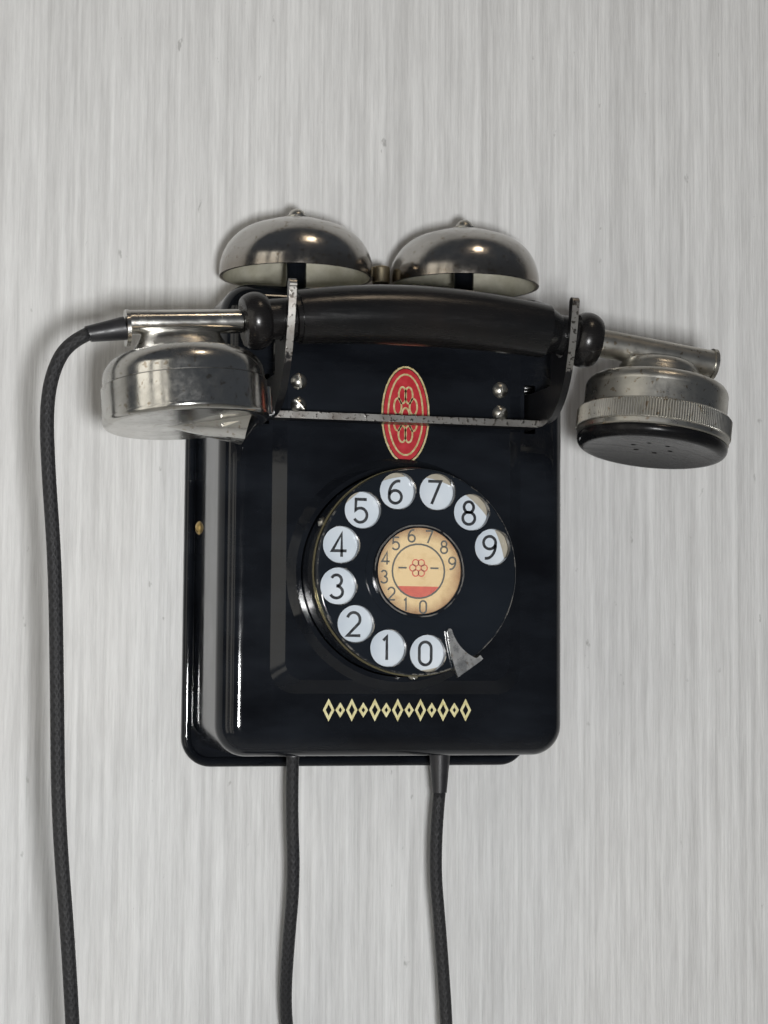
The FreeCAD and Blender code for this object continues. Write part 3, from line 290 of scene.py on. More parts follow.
def dial_case_finish():
    """Enamelled case whose front rim has worn to brass, with a cream band under the wheel."""
    p = Paint("dial_case_finish", specular_ior_level=0.4)
    colour, rough = enamel_layers(p)
    front_y, rim_r, band_r = -0.0870, 0.03875, 0.0382
    radius = radius_about_dial(p)
    front = p.ramp(p.part("Y"), front_y, front_y - 0.0003)
    ragged = p.times(p.math("SUBTRACT", p.noise(120, 4, 0.7), 0.5), 0.0007)
    rim = p.times(front, p.ramp(p.math("ADD", radius, ragged), rim_r, rim_r + 0.00015))
    inside = p.times(front, p.ramp(radius, band_r, band_r - 0.0001))
    cream = p.mix(p.noise(150, 4, 0.6), (0.28, 0.25, 0.19), (0.48, 0.45, 0.38))
    colour = p.mix(inside, colour, cream)
    p.set("Base Color", p.mix(rim, colour, (0.40, 0.35, 0.20)))
    p.set("Metallic", p.times(rim, 0.8))
    p.set("Roughness", p.math("ADD", rough, p.times(inside, 0.2)))
    return p.mat


def plug_finish():
    """Ebonite body with brass pins."""
    p = Paint("plug_finish")
    body_foot = -0.2963
    pin = p.ramp(p.part("Z"), body_foot, body_foot - 0.0002)
    streaks = p.noise(90, 4, 0.7, (6, 6, 0.6))
    p.set("Base Color", p.mix(pin, (0.014, 0.012, 0.012), (0.5, 0.36, 0.15)))
    p.set("Metallic", pin)
    p.set("Roughness", p.ramp(streaks, 0.3, 0.7, 0.24, 0.38))
    p.bump(streaks, 0.1, 0.0001)
    return p.mat


def nickel_layers(p, tone=NICKEL_TONE, rough=0.12, tarnish=0.5):
    """Colour and roughness of old nickel plate: mottled, tarnished in patches, with handling marks."""
    patches = p.ramp(p.noise(38, 5, 0.62), 0.45, 0.7)
    spots = p.specks(420, 0.64, 0.07)
    marks = p.ramp(p.noise(240, 4, 0.75), 0.35, 0.7)
    dark = tuple(c * 0.42 for c in tone)
    brown = (tone[0] * 0.45, tone[1] * 0.36, tone[2] * 0.26)
    colour = p.mix(p.times(patches, tarnish), tone, dark)
    colour = p.mix(p.times(spots, tarnish * 1.2), colour, brown)
    shade = p.math("ADD", p.times(patches, 0.12), p.times(marks, 0.10))
    p.bump(marks, 0.10, 0.00008)
    return colour, p.math("ADD", shade, rough)


def nickel(name, *plating):
    """Old nickel plate all over; plating is what nickel_layers takes after p."""
    p = Paint(name, metal=1.0)
    colour, roughness = nickel_layers(p, *plating)
    p.set("Base Color", colour)
    p.set("Roughness", roughness)
    return p.mat


def transmitter_nickel():
    """Nickel with a painted shade line along the seam above the cap's upper edge."""
    p = Paint("transmitter_nickel", metal=1.0)
    colour, roughness = nickel_layers(p)
    place = transmitter_frame()
    start, down = place.translation, place.to_3x3() @ Vector((0, 0, -1))
    offset = p.node("VectorMath", {0: p.coord.outputs["Object"], 1: start}, operation="SUBTRACT")
    below = p.node("VectorMath", {0: offset.outputs[0], 1: down}, operation="DOT_PRODUCT")
    seam = 0.0231
    # A dark band painted along the seam stands for the shade and broken reflections there, and roughens
    # it.
    seam_shade = p.times(p.ramp(below.outputs["Value"], seam, seam + 0.0005), 0.85)
    p.set("Base Color", p.mix(seam_shade, colour, (0.03, 0.027, 0.024)))
    p.set("Roughness", p.math("ADD", roughness, p.times(seam_shade, 0.3)))
    return p.mat


def gong_nickel(node):
    """Nickel outside, browned just above the mouth, and inside a painted cream reflection of the pale
    wall.
    """
    p = Paint(node + "_finish")
    mouth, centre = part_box(node)[0].z, middle(node)
    colour, roughness = nickel_layers(p, (0.46, 0.445, 0.42), 0.11)
    brown = p.ramp(p.part("Z"), mouth + 0.0085, mouth + 0.0015)
    colour = p.mix(p.times(brown, 0.55), colour, (0.16, 0.125, 0.09))
    across = p.times(p.math("SUBTRACT", p.part("X"), centre.x), p.facing("X"))
    deep = p.times(p.math("SUBTRACT", p.part("Y"), centre.y), p.facing("Y"))
    inside = p.ramp(p.math("ADD", across, deep), -0.0004, -0.0012)
    # The inside of each bowl gets a painted reflection of the pale wall: cream colour, less metal and
    # more roughness.
    cloud = p.ramp(p.noise(120, 4, 0.6), 0.35, 0.7)
    cream = p.mix(cloud, (0.46, 0.44, 0.34), (0.62, 0.60, 0.50))
    p.set("Base Color", p.mix(inside, colour, cream))
    p.set("Metallic", p.ramp(inside, 0, 1, 1.0, 0.25))
    p.set("Roughness", p.math("ADD", roughness, p.times(inside, 0.3)))
    return p.mat


EAR_FOOT, EAR_PAINT_TOP = 0.0425, 0.070  # heights between which the ears are still mostly painted


def worn_steel_cradle():
    """Black enamel on the flat faces, rubbed through to mottled steel on the edges of the strip."""
    p = Paint("cradle_enamel_and_steel")
    side = p.math("ABSOLUTE", p.facing("X"))
    front = p.times(p.facing("Y"), -1.0)
    ragged = p.noise(300, 4, 0.7)
    edge = p.math("ADD", p.math("MAXIMUM", front, p.math("SUBTRACT", 0.25, side)),
                  p.times(p.math("SUBTRACT", ragged, 0.5), 0.9))
    low_ear = p.times(p.ramp(p.part("Z"), EAR_PAINT_TOP, EAR_PAINT_TOP - 0.018),
                     p.ramp(p.part("Z"), EAR_FOOT, EAR_FOOT + 0.001))
    bare = p.ramp(p.math("SUBTRACT", edge, p.times(low_ear, 0.75)), 0.42, 0.52)
    pits = p.specks(620, 0.82, 0.06)
    stain = p.ramp(p.noise(110, 4, 0.6), 0.42, 0.66)
    steel = p.mix(pits, (0.34, 0.33, 0.31), (0.07, 0.065, 0.06))
    steel = p.mix(p.times(stain, 0.6), steel, (0.15, 0.12, 0.10))
    paint = p.mix(p.specks(300, 0.04, 0.05), (0.006, 0.006, 0.007), (0.14, 0.13, 0.12))
    p.set("Base Color", p.mix(bare, paint, steel))
    p.set("Metallic", bare)
    p.set("Roughness", p.ramp(bare, 0, 1, 0.30, 0.36))
    p.bump(p.math("ADD", bare, p.times(pits, 0.4)), 0.35, 0.00015)
    return p.mat


def ebonite(name, tone, shine):
    """Polished hard rubber, a little brown in patches, with white dust and rubbed streaks."""
    p = Paint(name, specular_ior_level=shine)
    streaks = p.noise(90, 4, 0.7, (0.6, 6, 6))
    brown = p.ramp(p.noise(30, 4, 0.6), 0.4, 0.7)
    dust = p.specks(700, 0.05, 0.05)
    colour = p.mix(brown, tone, (tone[0] * 1.9, tone[1] * 1.6, tone[2] * 1.4))
    p.set("Base Color", p.mix(p.times(dust, 0.3), colour, (0.3, 0.3, 0.28)))
    p.set("Roughness", p.ramp(streaks, 0.3, 0.7, 0.19, 0.32))
    p.bump(streaks, 0.06, 0.0001)
    return p.mat


def rubber():
    """Black rubber, a little grey in patches, with a fine grain."""
    p = Paint("black_rubber")
    grain = p.noise(600, 3, 0.6)
    patches = p.ramp(p.noise(60), 0.4, 0.7)
    p.set("Base Color", p.mix(patches, (0.01, 0.01, 0.012), (0.022, 0.022, 0.024)))
    p.set("Roughness", p.ramp(grain, 0.3, 0.7, 0.32, 0.5))
    p.bump(grain, 0.15, 0.0001)
    return p.mat


def metal(name, tone, rough=0.35, spotted=0.3):
    """Plain worked metal with tool marks and a little staining."""
    p = Paint(name, metal=1.0)
    stain = p.times(p.ramp(p.noise(150, 4, 0.65), 0.45, 0.7), spotted)
    p.set("Base Color", p.mix(stain, tone, tuple(c * 0.35 for c in tone)))
    grain = p.noise(900, 3, 0.7, (1, 1, 4))
    p.set("Roughness", p.ramp(grain, 0.3, 0.7, rough - 0.08, rough + 0.12))
    p.bump(grain, 0.12, 0.00008)
    return p.mat


def wound_copper():
    """Enamelled wire wound in fine level turns."""
    p = Paint("wound_copper", metal=0.7, rough=0.4)
    turns = p.node("TexWave", {"Vector": p.place(), "Scale": 900.0, "Distortion": 0.4},
                   bands_direction="Z").outputs["Fac"]
    p.set("Base Color", p.mix(turns, (0.16, 0.05, 0.02), (0.5, 0.2, 0.08)))
    p.bump(turns, 0.6, 0.0002)
    return p.mat


def laminate():
    """Brown insulating board that shows its layers."""
    p = Paint("laminated_board", rough=0.5)
    layers = p.noise(80, 4, 0.6, (1, 12, 1))
    p.set("Base Color", p.mix(p.ramp(layers, 0.35, 0.7), (0.12, 0.055, 0.02), (0.26, 0.14, 0.06)))
    p.bump(layers, 0.1, 0.0001)
    return p.mat


def white_enamel():
    """Vitreous enamel: bluish white, a little uneven, with a few brown pin marks."""
    p = Paint("white_enamel", coat_weight=0.3, coat_roughness=0.05)
    cloud = p.ramp(p.noise(70, 3, 0.5), 0.35, 0.7)
    marks = p.specks(260, 0.06, 0.03)
    colour = p.mix(cloud, (0.56, 0.62, 0.68), (0.64, 0.69, 0.74))
    p.set("Base Color", p.mix(p.times(marks, 0.35), colour, (0.4, 0.34, 0.26)))
    p.set("Roughness", p.ramp(cloud, 0, 1, 0.16, 0.26))
    p.bump(p.noise(120, 2), 0.05, 0.0002)
    return p.mat


def aged_card():
    """Cream card, browned towards its edge and foxed."""
    p = Paint("aged_card", rough=0.7)
    ragged = p.times(p.math("SUBTRACT", p.noise(140, 4), 0.5), 0.006)
    edge = p.ramp(p.math("ADD", radius_about_dial(p), ragged), 0.0125, 0.0165)
    fox = p.ramp(p.noise(180, 4, 0.6), 0.5, 0.75)
    colour = p.mix(fox, (0.70, 0.52, 0.27), (0.56, 0.37, 0.16))
    p.set("Base Color", p.mix(edge, colour, (0.34, 0.17, 0.06)))
    p.bump(p.noise(900, 3), 0.1, 0.00005)
    return p.mat


def celluloid():
    """Clear thin window with slight haze."""
    p = Paint("celluloid", rough=0.12, alpha=0.05)
    haze = p.noise(120, 3)
    p.set("Base Color", p.mix(haze, (0.9, 0.88, 0.8), (0.8, 0.76, 0.64)))
    p.set("Roughness", p.ramp(haze, 0.3, 0.7, 0.06, 0.2))
    return p.mat


def braid():
    """Cotton braid over rubber: crossed yarns from the cord's own lengthwise and round coordinates."""
    crossings_per_metre, yarns_around = 300, 8.0
    p = Paint("black_braid", sheen_weight=0.08, sheen_roughness=0.5)
    uv = p.node("SeparateXYZ", {"Vector": p.coord.outputs["UV"]})
    along, round_it = uv.outputs[0], uv.outputs[1]
    yarns = []
    for sign in (1, -1):
        phase = p.math("ADD", p.times(along, crossings_per_metre * sign),
                       p.times(round_it, yarns_around))
        yarns.append(p.math("SINE", p.times(phase, 2 * math.pi)))
    weave = p.math("MAXIMUM", yarns[0], yarns[1])
    fuzz = p.noise(1500, 3, 0.7)
    lit = p.ramp(p.math("ADD", weave, p.times(fuzz, 0.8)), 0.2, 1.6)
    worn = p.ramp(p.noise(45, 3), 0.45, 0.75)
    colour = p.mix(lit, (0.003, 0.003, 0.004), (0.013, 0.0135, 0.016))
    p.set("Base Color", p.mix(p.times(worn, 0.3), colour, (0.022, 0.022, 0.021)))
    p.set("Roughness", p.ramp(fuzz, 0.3, 0.7, 0.55, 0.8))
    p.bump(p.math("ADD", weave, fuzz), 0.3, 0.0003)
    return p.mat


def plain(name, low, high, rough, scale):
    """Paint or print with slight unevenness between two tones."""
    p = Paint(name)
    cloud = p.ramp(p.noise(scale, 4, 0.6), 0.35, 0.7)
    p.set("Base Color", p.mix(cloud, low, high))
    p.set("Roughness", p.ramp(cloud, 0, 1, rough - 0.06, rough + 0.06))
    return p.mat


# ---- mesh kit -----------------------------------------------------------------------------------
def piece_from(name, bm, material, smooth):
    """Turns a bmesh into a piece that rides on nothing yet."""
    mesh = bpy.data.meshes.new(name)
    bm.to_mesh(mesh)
    bm.free()
    for face in mesh.polygons:
        face.use_smooth = smooth
    mesh.materials.append(material)
    piece = bpy.data.objects.new(name, mesh)
    bpy.context.scene.collection.objects.link(piece)
    return piece


def flat_piece(name, bm, material, body):
    """Turns a bmesh into a flat-shaded piece that rides on a body."""
    bmesh.ops.recalc_face_normals(bm, faces=bm.faces)
    piece = piece_from(name, bm, material, False)
    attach(piece, body)
    return piece


def add_tube(bm, line, radius, sides):
    """Adds a closed tube along close points, with UV.x the distance along it and UV.y the way round."""
    uv = bm.loops.layers.uv.verify()
    rings = []
    travelled = [0.0]
    side = None
    for i, point in enumerate(line):
        ahead = (line[min(i + 1, len(line) - 1)] - line[max(i - 1, 0)]).normalized()
        if side is None:
            side = ahead.orthogonal().normalized()
        side = (side - ahead * side.dot(ahead)).normalized()
        other = ahead.cross(side)
        ring = []
        for k in range(sides):
            a = 2 * math.pi * k / sides
            ring.append(bm.verts.new(point + (side * math.cos(a) + other * math.sin(a)) * radius))
        rings.append(ring)
        if i:
            travelled.append(travelled[-1] + (point - line[i - 1]).length)
    for i in range(len(rings) - 1):
        for k in range(sides):
            n = (k + 1) % sides
            face = bm.faces.new((rings[i][k], rings[i][n], rings[i + 1][n], rings[i + 1][k]))
            places = ((i, k), (i, k + 1), (i + 1, k + 1), (i + 1, k))
            for loop, (along, step) in zip(face.loops, places):
                loop[uv].uv = (travelled[along], step / sides)
    bm.faces.new(rings[0][::-1])
    bm.faces.new(rings[-1])


def tube_piece(name, lines, radius, material, sides=20):
    """One piece made of a tube along each line, riding on nothing yet."""
    bm = bmesh.new()
    for line in lines:
        add_tube(bm, line, radius, sides)
    return piece_from(name, bm, material, True)


def even(line, step):
    """The same line with points every step or closer."""
    result = [line[0]]
    for a, b in zip(line, line[1:]):
        parts = max(1, math.ceil((b - a).length / step))
        result += [a.lerp(b, (i + 1) / parts) for i in range(parts)]
    return result


# ---- cord pieces --------------------------------------------------------------------------------
def make_handset_cord(material):
    """From the transmitter's tube, down out of view and up into the case."""
    line = smooth_line(route_points(HANDSET_CORD))
    cord = tube_piece("handset_cord_braid", [even(line, CORD_STEP)], CORD_R, material)
    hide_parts("handset_cord")
    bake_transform(cord)


# The put-away coil in millimetres: its turns weave in and out by COIL_WEAVE as they stack forward from
# COIL_BACK. The tail is measured from the coil's middle.
COIL_TURNS, COIL_R, COIL_WEAVE = 7, 28.0, 2.6
COIL_BACK, COIL_DEEP, COIL_START = 4.6, 10.2, 78
COIL_TAIL = [(27.2, 16.8, -3.0), (22.5, 17.8, -12.5), (13.5, 18.4, -17.5), (4.8, 18.6, -22.5),
             (0.2, 16.6, -30.0), (0.0, 13.4, -36.5)]


def coil_route(x, z):
    """A neat wound coil about (x, z), then its tail across the front and down into the plug."""
    route = []
    per_turn, run_on = 12, 3
    for i in range(COIL_TURNS * per_turn + run_on):
        turn = i / per_turn
        a = math.radians(COIL_START) - 2 * math.pi * turn
        radius = COIL_R + COIL_WEAVE * math.sin(2.4 * math.pi * turn)
        depth = COIL_BACK + COIL_DEEP * turn / COIL_TURNS
        route.append((x + radius * math.cos(a), depth, z + radius * math.sin(a)))
    return route + [(x + dx, depth, z + dz) for dx, depth, dz in COIL_TAIL]


def make_line_cord(material):
    """From the case down to the put-away coil and into the plug, all on the wall."""
    centre = middle("line_coil") / MM
    line = smooth_line(route_points(LINE_CORD + coil_route(centre.x, centre.z)))
    cord = tube_piece("line_cord_braid", [even(line, CORD_STEP)], CORD_R, material)
    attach(cord, "root")
    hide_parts("line_cord", "line_coil")


# ---- springs ------------------------------------------------------------------------------------
def make_hook_springs(material):
    """Two springs from the cradle's arms up to fixed pins, in one fixed shape; the real springs close up
    as the cradle rises.
    """
    x, depth, coil_r, wire_r = 58.8, 44.0, 2.4, 0.5
    arm_x, arm_z, bend = 51.0, 51.6, 0.6
    low, high, loop_z = 56.0, 73.0, 79.3
    turns, per_turn, per_loop = 12.25, 16, 24
    route = [(arm_x, depth, arm_z), (x - coil_r - bend, depth, arm_z),
             (x - coil_r, depth, arm_z + bend), (x - coil_r, depth, low)]
    for i in range(1, int(turns * per_turn) + 1):
        a = math.pi - 2 * math.pi * i / per_turn
        z = low + (high - low) * i / (turns * per_turn)
        route.append((x + coil_r * math.cos(a), depth + coil_r * math.sin(a), z))
    for i in range(per_loop - 1):
        a = 2 * math.pi * i / per_loop
        route.append((x, depth + coil_r * math.cos(a), loop_z + coil_r * math.sin(a)))
    lines = [route_points([(side * px, d, z) for px, d, z in route]) for side in (-1, 1)]
    springs = tube_piece("hook_spring_coils", lines, wire_r * MM, material, 10)
    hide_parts("hook_springs")
    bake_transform(springs)


# ---- printed and turned details -----------------------------------------------------------------
BOW_STEP = 12  # degrees


def bow(cx, cy, rx, ry, first, last):
    """Points along part of an ellipse, angles in degrees."""
    steps = max(2, int(abs(last - first) / BOW_STEP))
    angles = [math.radians(first + (last - first) * i / steps) for i in range(steps + 1)]
    return [(cx + rx * math.cos(a), cy + ry * math.sin(a)) for a in angles]


def numeral(n):
    """Pen strokes of a plain digit, one unit high and about 0.6 wide, centred on the origin."""
    strokes = {
        0: [bow(0.3, 0.72, 0.27, 0.28, 180, 0) + bow(0.3, 0.28, 0.27, 0.28, 0, -180) + [(0.03, 0.72)]],
        1: [[(0.18, 0.84), (0.34, 1.0), (0.34, 0.0)]],
        2: [bow(0.31, 0.70, 0.28, 0.30, 165, -35) + [(0.03, 0.0), (0.61, 0.0)]],
        3: [bow(0.3, 0.76, 0.23, 0.24, 155, -90), bow(0.3, 0.26, 0.28, 0.26, 90, -155)],
        4: [[(0.42, 0.0), (0.42, 1.0), (0.0, 0.26), (0.64, 0.26)]],
        5: [[(0.58, 1.0), (0.1, 1.0), (0.08, 0.53)] + bow(0.29, 0.31, 0.3, 0.31, 128, -150)],
        6: [bow(0.3, 0.28, 0.28, 0.28, 0, 360), bow(0.46, 0.36, 0.44, 0.62, 180, 82)],
        7: [[(0.0, 1.0), (0.58, 1.0), (0.16, 0.0)]],
        8: [bow(0.3, 0.76, 0.22, 0.24, 0, 360), bow(0.3, 0.27, 0.28, 0.27, 0, 360)],
        9: [bow(0.3, 0.72, 0.28, 0.28, 0, 360), bow(0.14, 0.64, 0.44, 0.62, 0, -98)],
    }[n]
    return [[(x - 0.3, y - 0.5) for x, y in stroke] for stroke in strokes]


def moved(strokes, x, z, size):
    """The same strokes, scaled and centred on (x, z)."""
    return [[(x + a * size, z + b * size) for a, b in stroke] for stroke in strokes]


def print_strokes(name, strokes, depth, width, material, body, thick=0.05):
    """Flat pen strokes in millimetres on a face that looks out from the wall at this depth."""
    sharpest, same_place = 0.45, 1e-6
    bm = bmesh.new()
    for stroke in strokes:
        closed = math.dist(stroke[0], stroke[-1]) < same_place
        points = stroke[:-1] if closed else stroke
        count = len(points)
        rings = []
        for i, (x, z) in enumerate(points):
            before = points[i - 1] if closed or i else points[i]
            after = points[(i + 1) % count] if closed or i < count - 1 else points[i]
            u = Vector((x - before[0], z - before[1]))
            w = Vector((after[0] - x, after[1] - z))
            u = u.normalized() if u.length else w.normalized()
            w = w.normalized() if w.length else u
            ahead = (u + w).normalized()
            reach = width / 2 / max(sharpest, ahead.dot(u))
            side = Vector((-ahead.y, ahead.x)) * reach
            corners = ((side, depth), (side, depth + thick), (-side, depth + thick), (-side, depth))
            rings.append([bm.verts.new(((x + s.x) * MM, -d * MM, (z + s.y) * MM)) for s, d in corners])
        for i in range(count if closed else count - 1):
            a, b = rings[i], rings[(i + 1) % count]
            for k in range(4):
                bm.faces.new((a[k], a[(k + 1) % 4], b[(k + 1) % 4], b[k]))
        if not closed:
            bm.faces.new(rings[0])
            bm.faces.new(rings[-1][::-1])
    flat_piece(name, bm, material, body)


def print_area(name, outline, depth, thick, material, body):
    """A thin flat shape in millimetres on a face that looks out from the wall."""
    bm = bmesh.new()
    front = [bm.verts.new((x * MM, -(depth + thick) * MM, z * MM)) for x, z in outline]
    back = [bm.verts.new((x * MM, -depth * MM, z * MM)) for x, z in outline]
    bm.faces.new(front)
    bm.faces.new(back[::-1])
    for i in range(len(outline)):
        n = (i + 1) % len(outline)
        bm.faces.new((front[i], front[n], back[n], back[i]))
    flat_piece(name, bm, material, body)


# How far out from the wall each printed face lies, in millimetres.
PLATE_D, CARD_D, PANEL_D, COVER_D = 88.6, 93.4, 66.6, 63.8
BADGE_AT = (1.9, 45.0)
STRIP_FROM, STRIP_STEP, STRIP_COUNT = (-27.0, -69.4), 4.56, 13
LARGE_LOZENGE, SMALL_LOZENGE = (1.7, 3.3), (1.3, 2.0)  # half width and half height


def around_dial(radius, degrees):
    """The (x, z) in millimetres at this angle, measured clockwise from the dial's right-hand side."""
    a = math.radians(degrees)
    return radius * math.cos(a), DIAL_Z - radius * math.sin(a)


def make_dial_print():
    """Numerals on the enamel plate and the card, with a plain ring, band and rosette on the card."""
    ink = plain("numeral_ink", (0.018, 0.02, 0.024), (0.035, 0.038, 0.042), 0.3, 400)
    grey = plain("card_ink", (0.03, 0.034, 0.034), (0.06, 0.062, 0.058), 0.7, 900)
    red = plain("card_red", (0.50, 0.045, 0.025), (0.62, 0.09, 0.05), 0.7, 500)
    # Radius of the ring of digits, angle of the 0, step between digits, and height of a digit.
    plate_r, plate_first, plate_step, plate_size = 30.9, 82.2, 28.84, 8.6
    card_r, card_first, card_step, card_size = 13.5, 82.0, 29.4, 4.6
    large, small = [], []
    for n in range(10):
        large += moved(numeral(n), *around_dial(plate_r, plate_first + plate_step * n), plate_size)
        small += moved(numeral(n), *around_dial(card_r, card_first + card_step * n), card_size)
    print_strokes("plate_numerals", large, PLATE_D, 1.1, ink, "root")
    ring_r, band_r, rosette_z = 10.1, 9.9, DIAL_Z + 1.2
    dash_x, half_dash, petal_r, petal_at = 6.2, 1.6, 1.2, 2.2
    small.append(bow(0, DIAL_Z, ring_r, ring_r, 0, 360))
    small += [[(x - half_dash, rosette_z), (x + half_dash, rosette_z)] for x in (-dash_x, dash_x)]
    print_strokes("card_numerals", small, CARD_D, 0.66, grey, "dial", 0.04)
    print_area("card_red_band", bow(0, DIAL_Z, band_r, band_r, -35, -145), CARD_D, 0.03, red, "dial")
    petals = [bow(petal_at * math.cos(a), rosette_z + petal_at * math.sin(a), petal_r, petal_r, 0, 360)
              for a in (math.radians(60 * i) for i in range(6))]
    print_strokes("card_rosette", petals, CARD_D, 0.45, red, "dial", 0.04)


def make_ornaments():
    """Plain gilt and red decoration on the cover: an oval badge and a row of lozenges."""
    gilt = plain("gilt_transfer", (0.36, 0.28, 0.11), (0.60, 0.52, 0.30), 0.45, 700)
    cream = plain("cream_gold_transfer", (0.52, 0.46, 0.20), (0.74, 0.70, 0.42), 0.45, 500)
    red = plain("red_transfer", (0.36, 0.012, 0.02), (0.47, 0.02, 0.03), 0.35, 300)
    x, z = BADGE_AT
    print_area("badge_red", bow(x, z, 8.8, 18.0, 0, 349), PANEL_D, 0.10, red, "root")
    ovals = [(x, z, 9.4, 18.7), (x, z, 7.0, 15.8)]
    petals = 8
    for i in range(petals):
        a = 2 * math.pi * (i + 0.5) / petals
        ovals.append((x + 3.4 * math.cos(a), z + 8.2 * math.sin(a), 1.5, 3.2))
    ovals.append((x, z, 1.5, 2.6))
    lines = [bow(*oval, 0, 360) for oval in ovals]
    print_strokes("badge_gilt", lines, PANEL_D, 0.7, gilt, "root", 0.16)
    lozenges = []
    for i in range(STRIP_COUNT):
        cx, cz = STRIP_FROM[0] + i * STRIP_STEP, STRIP_FROM[1]
        w, h = SMALL_LOZENGE if i % 2 else LARGE_LOZENGE
        lozenges.append([(cx - w, cz), (cx, cz + h), (cx + w, cz), (cx, cz - h), (cx - w, cz)])
    print_strokes("gilt_strip", lozenges, COVER_D, 1.0, cream, "root", 0.06)


# The handset's place in the cradle, in millimetres and degrees.
AXIS_Y, AXIS_Z = -103.5, 71.24
NOTCH_Z, BEAD_X = 72.8, 63.8
TILT, LEAN, SHIFT = 0.4, -5.0, (-1.3, 0, 0.65)


def about(point, angle, axis):
    """A turn in degrees about an axis through a point in millimetres."""
    centre = Matrix.Translation(Vector(point) * MM)
    return centre @ Matrix.Rotation(math.radians(angle), 4, axis) @ centre.inverted()


def capsule_frame(side, droop, capsule_x):
    """From upright axes on a capsule's axis, at its tube's centre, to its place in the cradle.

    The side is -1 for the transmitter, on the left, and 1 for the receiver.
    """
    notch, bead = (0, AXIS_Y, NOTCH_Z), (BEAD_X * side, AXIS_Y, AXIS_Z)
    rest = Matrix.Translation(Vector(SHIFT) * MM) @ about(notch, TILT, "Y") @ about(notch, LEAN, "X")
    capsule = Matrix.Translation(Vector((capsule_x, AXIS_Y, AXIS_Z)) * MM)
    return rest @ about(bead, droop * side, "Y") @ capsule


def transmitter_frame():
    return capsule_frame(-1, 4.1, -91.4)


def receiver_frame():
    return capsule_frame(1, 7.4, 94.4)


def make_knurled_ring(material):
    """The receiver's clamping ring with straight knurling, then a smooth lip."""
    # Radius, distance below the tube's axis, and share of the knurling's depth.
    profile = [(27.35, 24.4, 0), (28.8, 24.4, 0), (29.05, 24.7, 0), (29.4, 25.1, 1), (29.4, 31.7, 1),
               (29.05, 32.1, 0), (28.75, 32.3, 0), (28.75, 33.9, 0), (28.3, 34.4, 0), (27.35, 34.4, 0)]
    ridges = 176
    groove = (0.0, 0.10, 0.4, 0.10)
    around = ridges * len(groove)
    place = receiver_frame()
    bm = bmesh.new()
    rows = []
    for radius, h, cut in profile:
        row = []
        for k in range(around):
            r = radius - groove[k % len(groove)] * cut
            a = 2 * math.pi * k / around
            row.append(bm.verts.new(place @ (Vector((r * math.cos(a), r * math.sin(a), -h)) * MM)))
        rows.append(row)
    for i, row in enumerate(rows):
        following = rows[(i + 1) % len(rows)]
        for k in range(len(row)):
            n = (k + 1) % len(row)
            bm.faces.new((row[k], row[n], following[n], following[k]))
    ring = flat_piece("knurled_ring", bm, material, "handset")
    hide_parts("receiver_ring")


# ---- carried-over CAD nodes ---------------------------------------------------------------------
def dress(materials):
    """Gives each CAD node named in the lists its material, and smooth shading."""
    for material, names in materials.items():
        for name in names.split():
            data = NODES[name].data
            data.materials.clear()
            data.materials.append(material)
            for face in data.polygons:
                face.use_smooth = True


# ---- stage --------------------------------------------------------------------------------------
FLOOR_Z, WALL_TOP, WALL_HALF = -0.9, 1.9, 2.5
WALL_GAP, OPENING_INSET = 0.001, 0.012  # behind the plate's back, and inside the plate's outline
WINDOWS = ((66, 0.42, 2.8), (48, 0.27, 1.8), (37, 0.11, 0.7))  # degrees to the left, width and watts
WINDOW_FAR, WINDOW_TALL = 1.5, 1.5
DAYLIGHT, LAMPLIGHT, SKY = (1.0, 0.95, 0.84), (1.0, 0.80, 0.58), (0.62, 0.68, 0.78, 1)


def light(name, where, target, width, height, power, colour=(1, 1, 1)):
    """A rectangular lamp, in metres and watts, that faces its target."""
    data = bpy.data.lights.new(name, "AREA")
    data.shape = "RECTANGLE"
    data.energy = power
    data.size = width
    data.size_y = height
    data.color = colour
    lamp = bpy.data.objects.new(name, data)
    bpy.context.scene.collection.objects.link(lamp)
    lamp.location = where
    lamp.rotation_mode = "QUATERNION"
    lamp.rotation_quaternion = (Vector(target) - Vector(where)).to_track_quat("-Z", "Y")


def rectangle(left, low, right, high):
    """The four corners of a rectangle, in order round it."""
    return [(left, low), (right, low), (right, high), (left, high)]


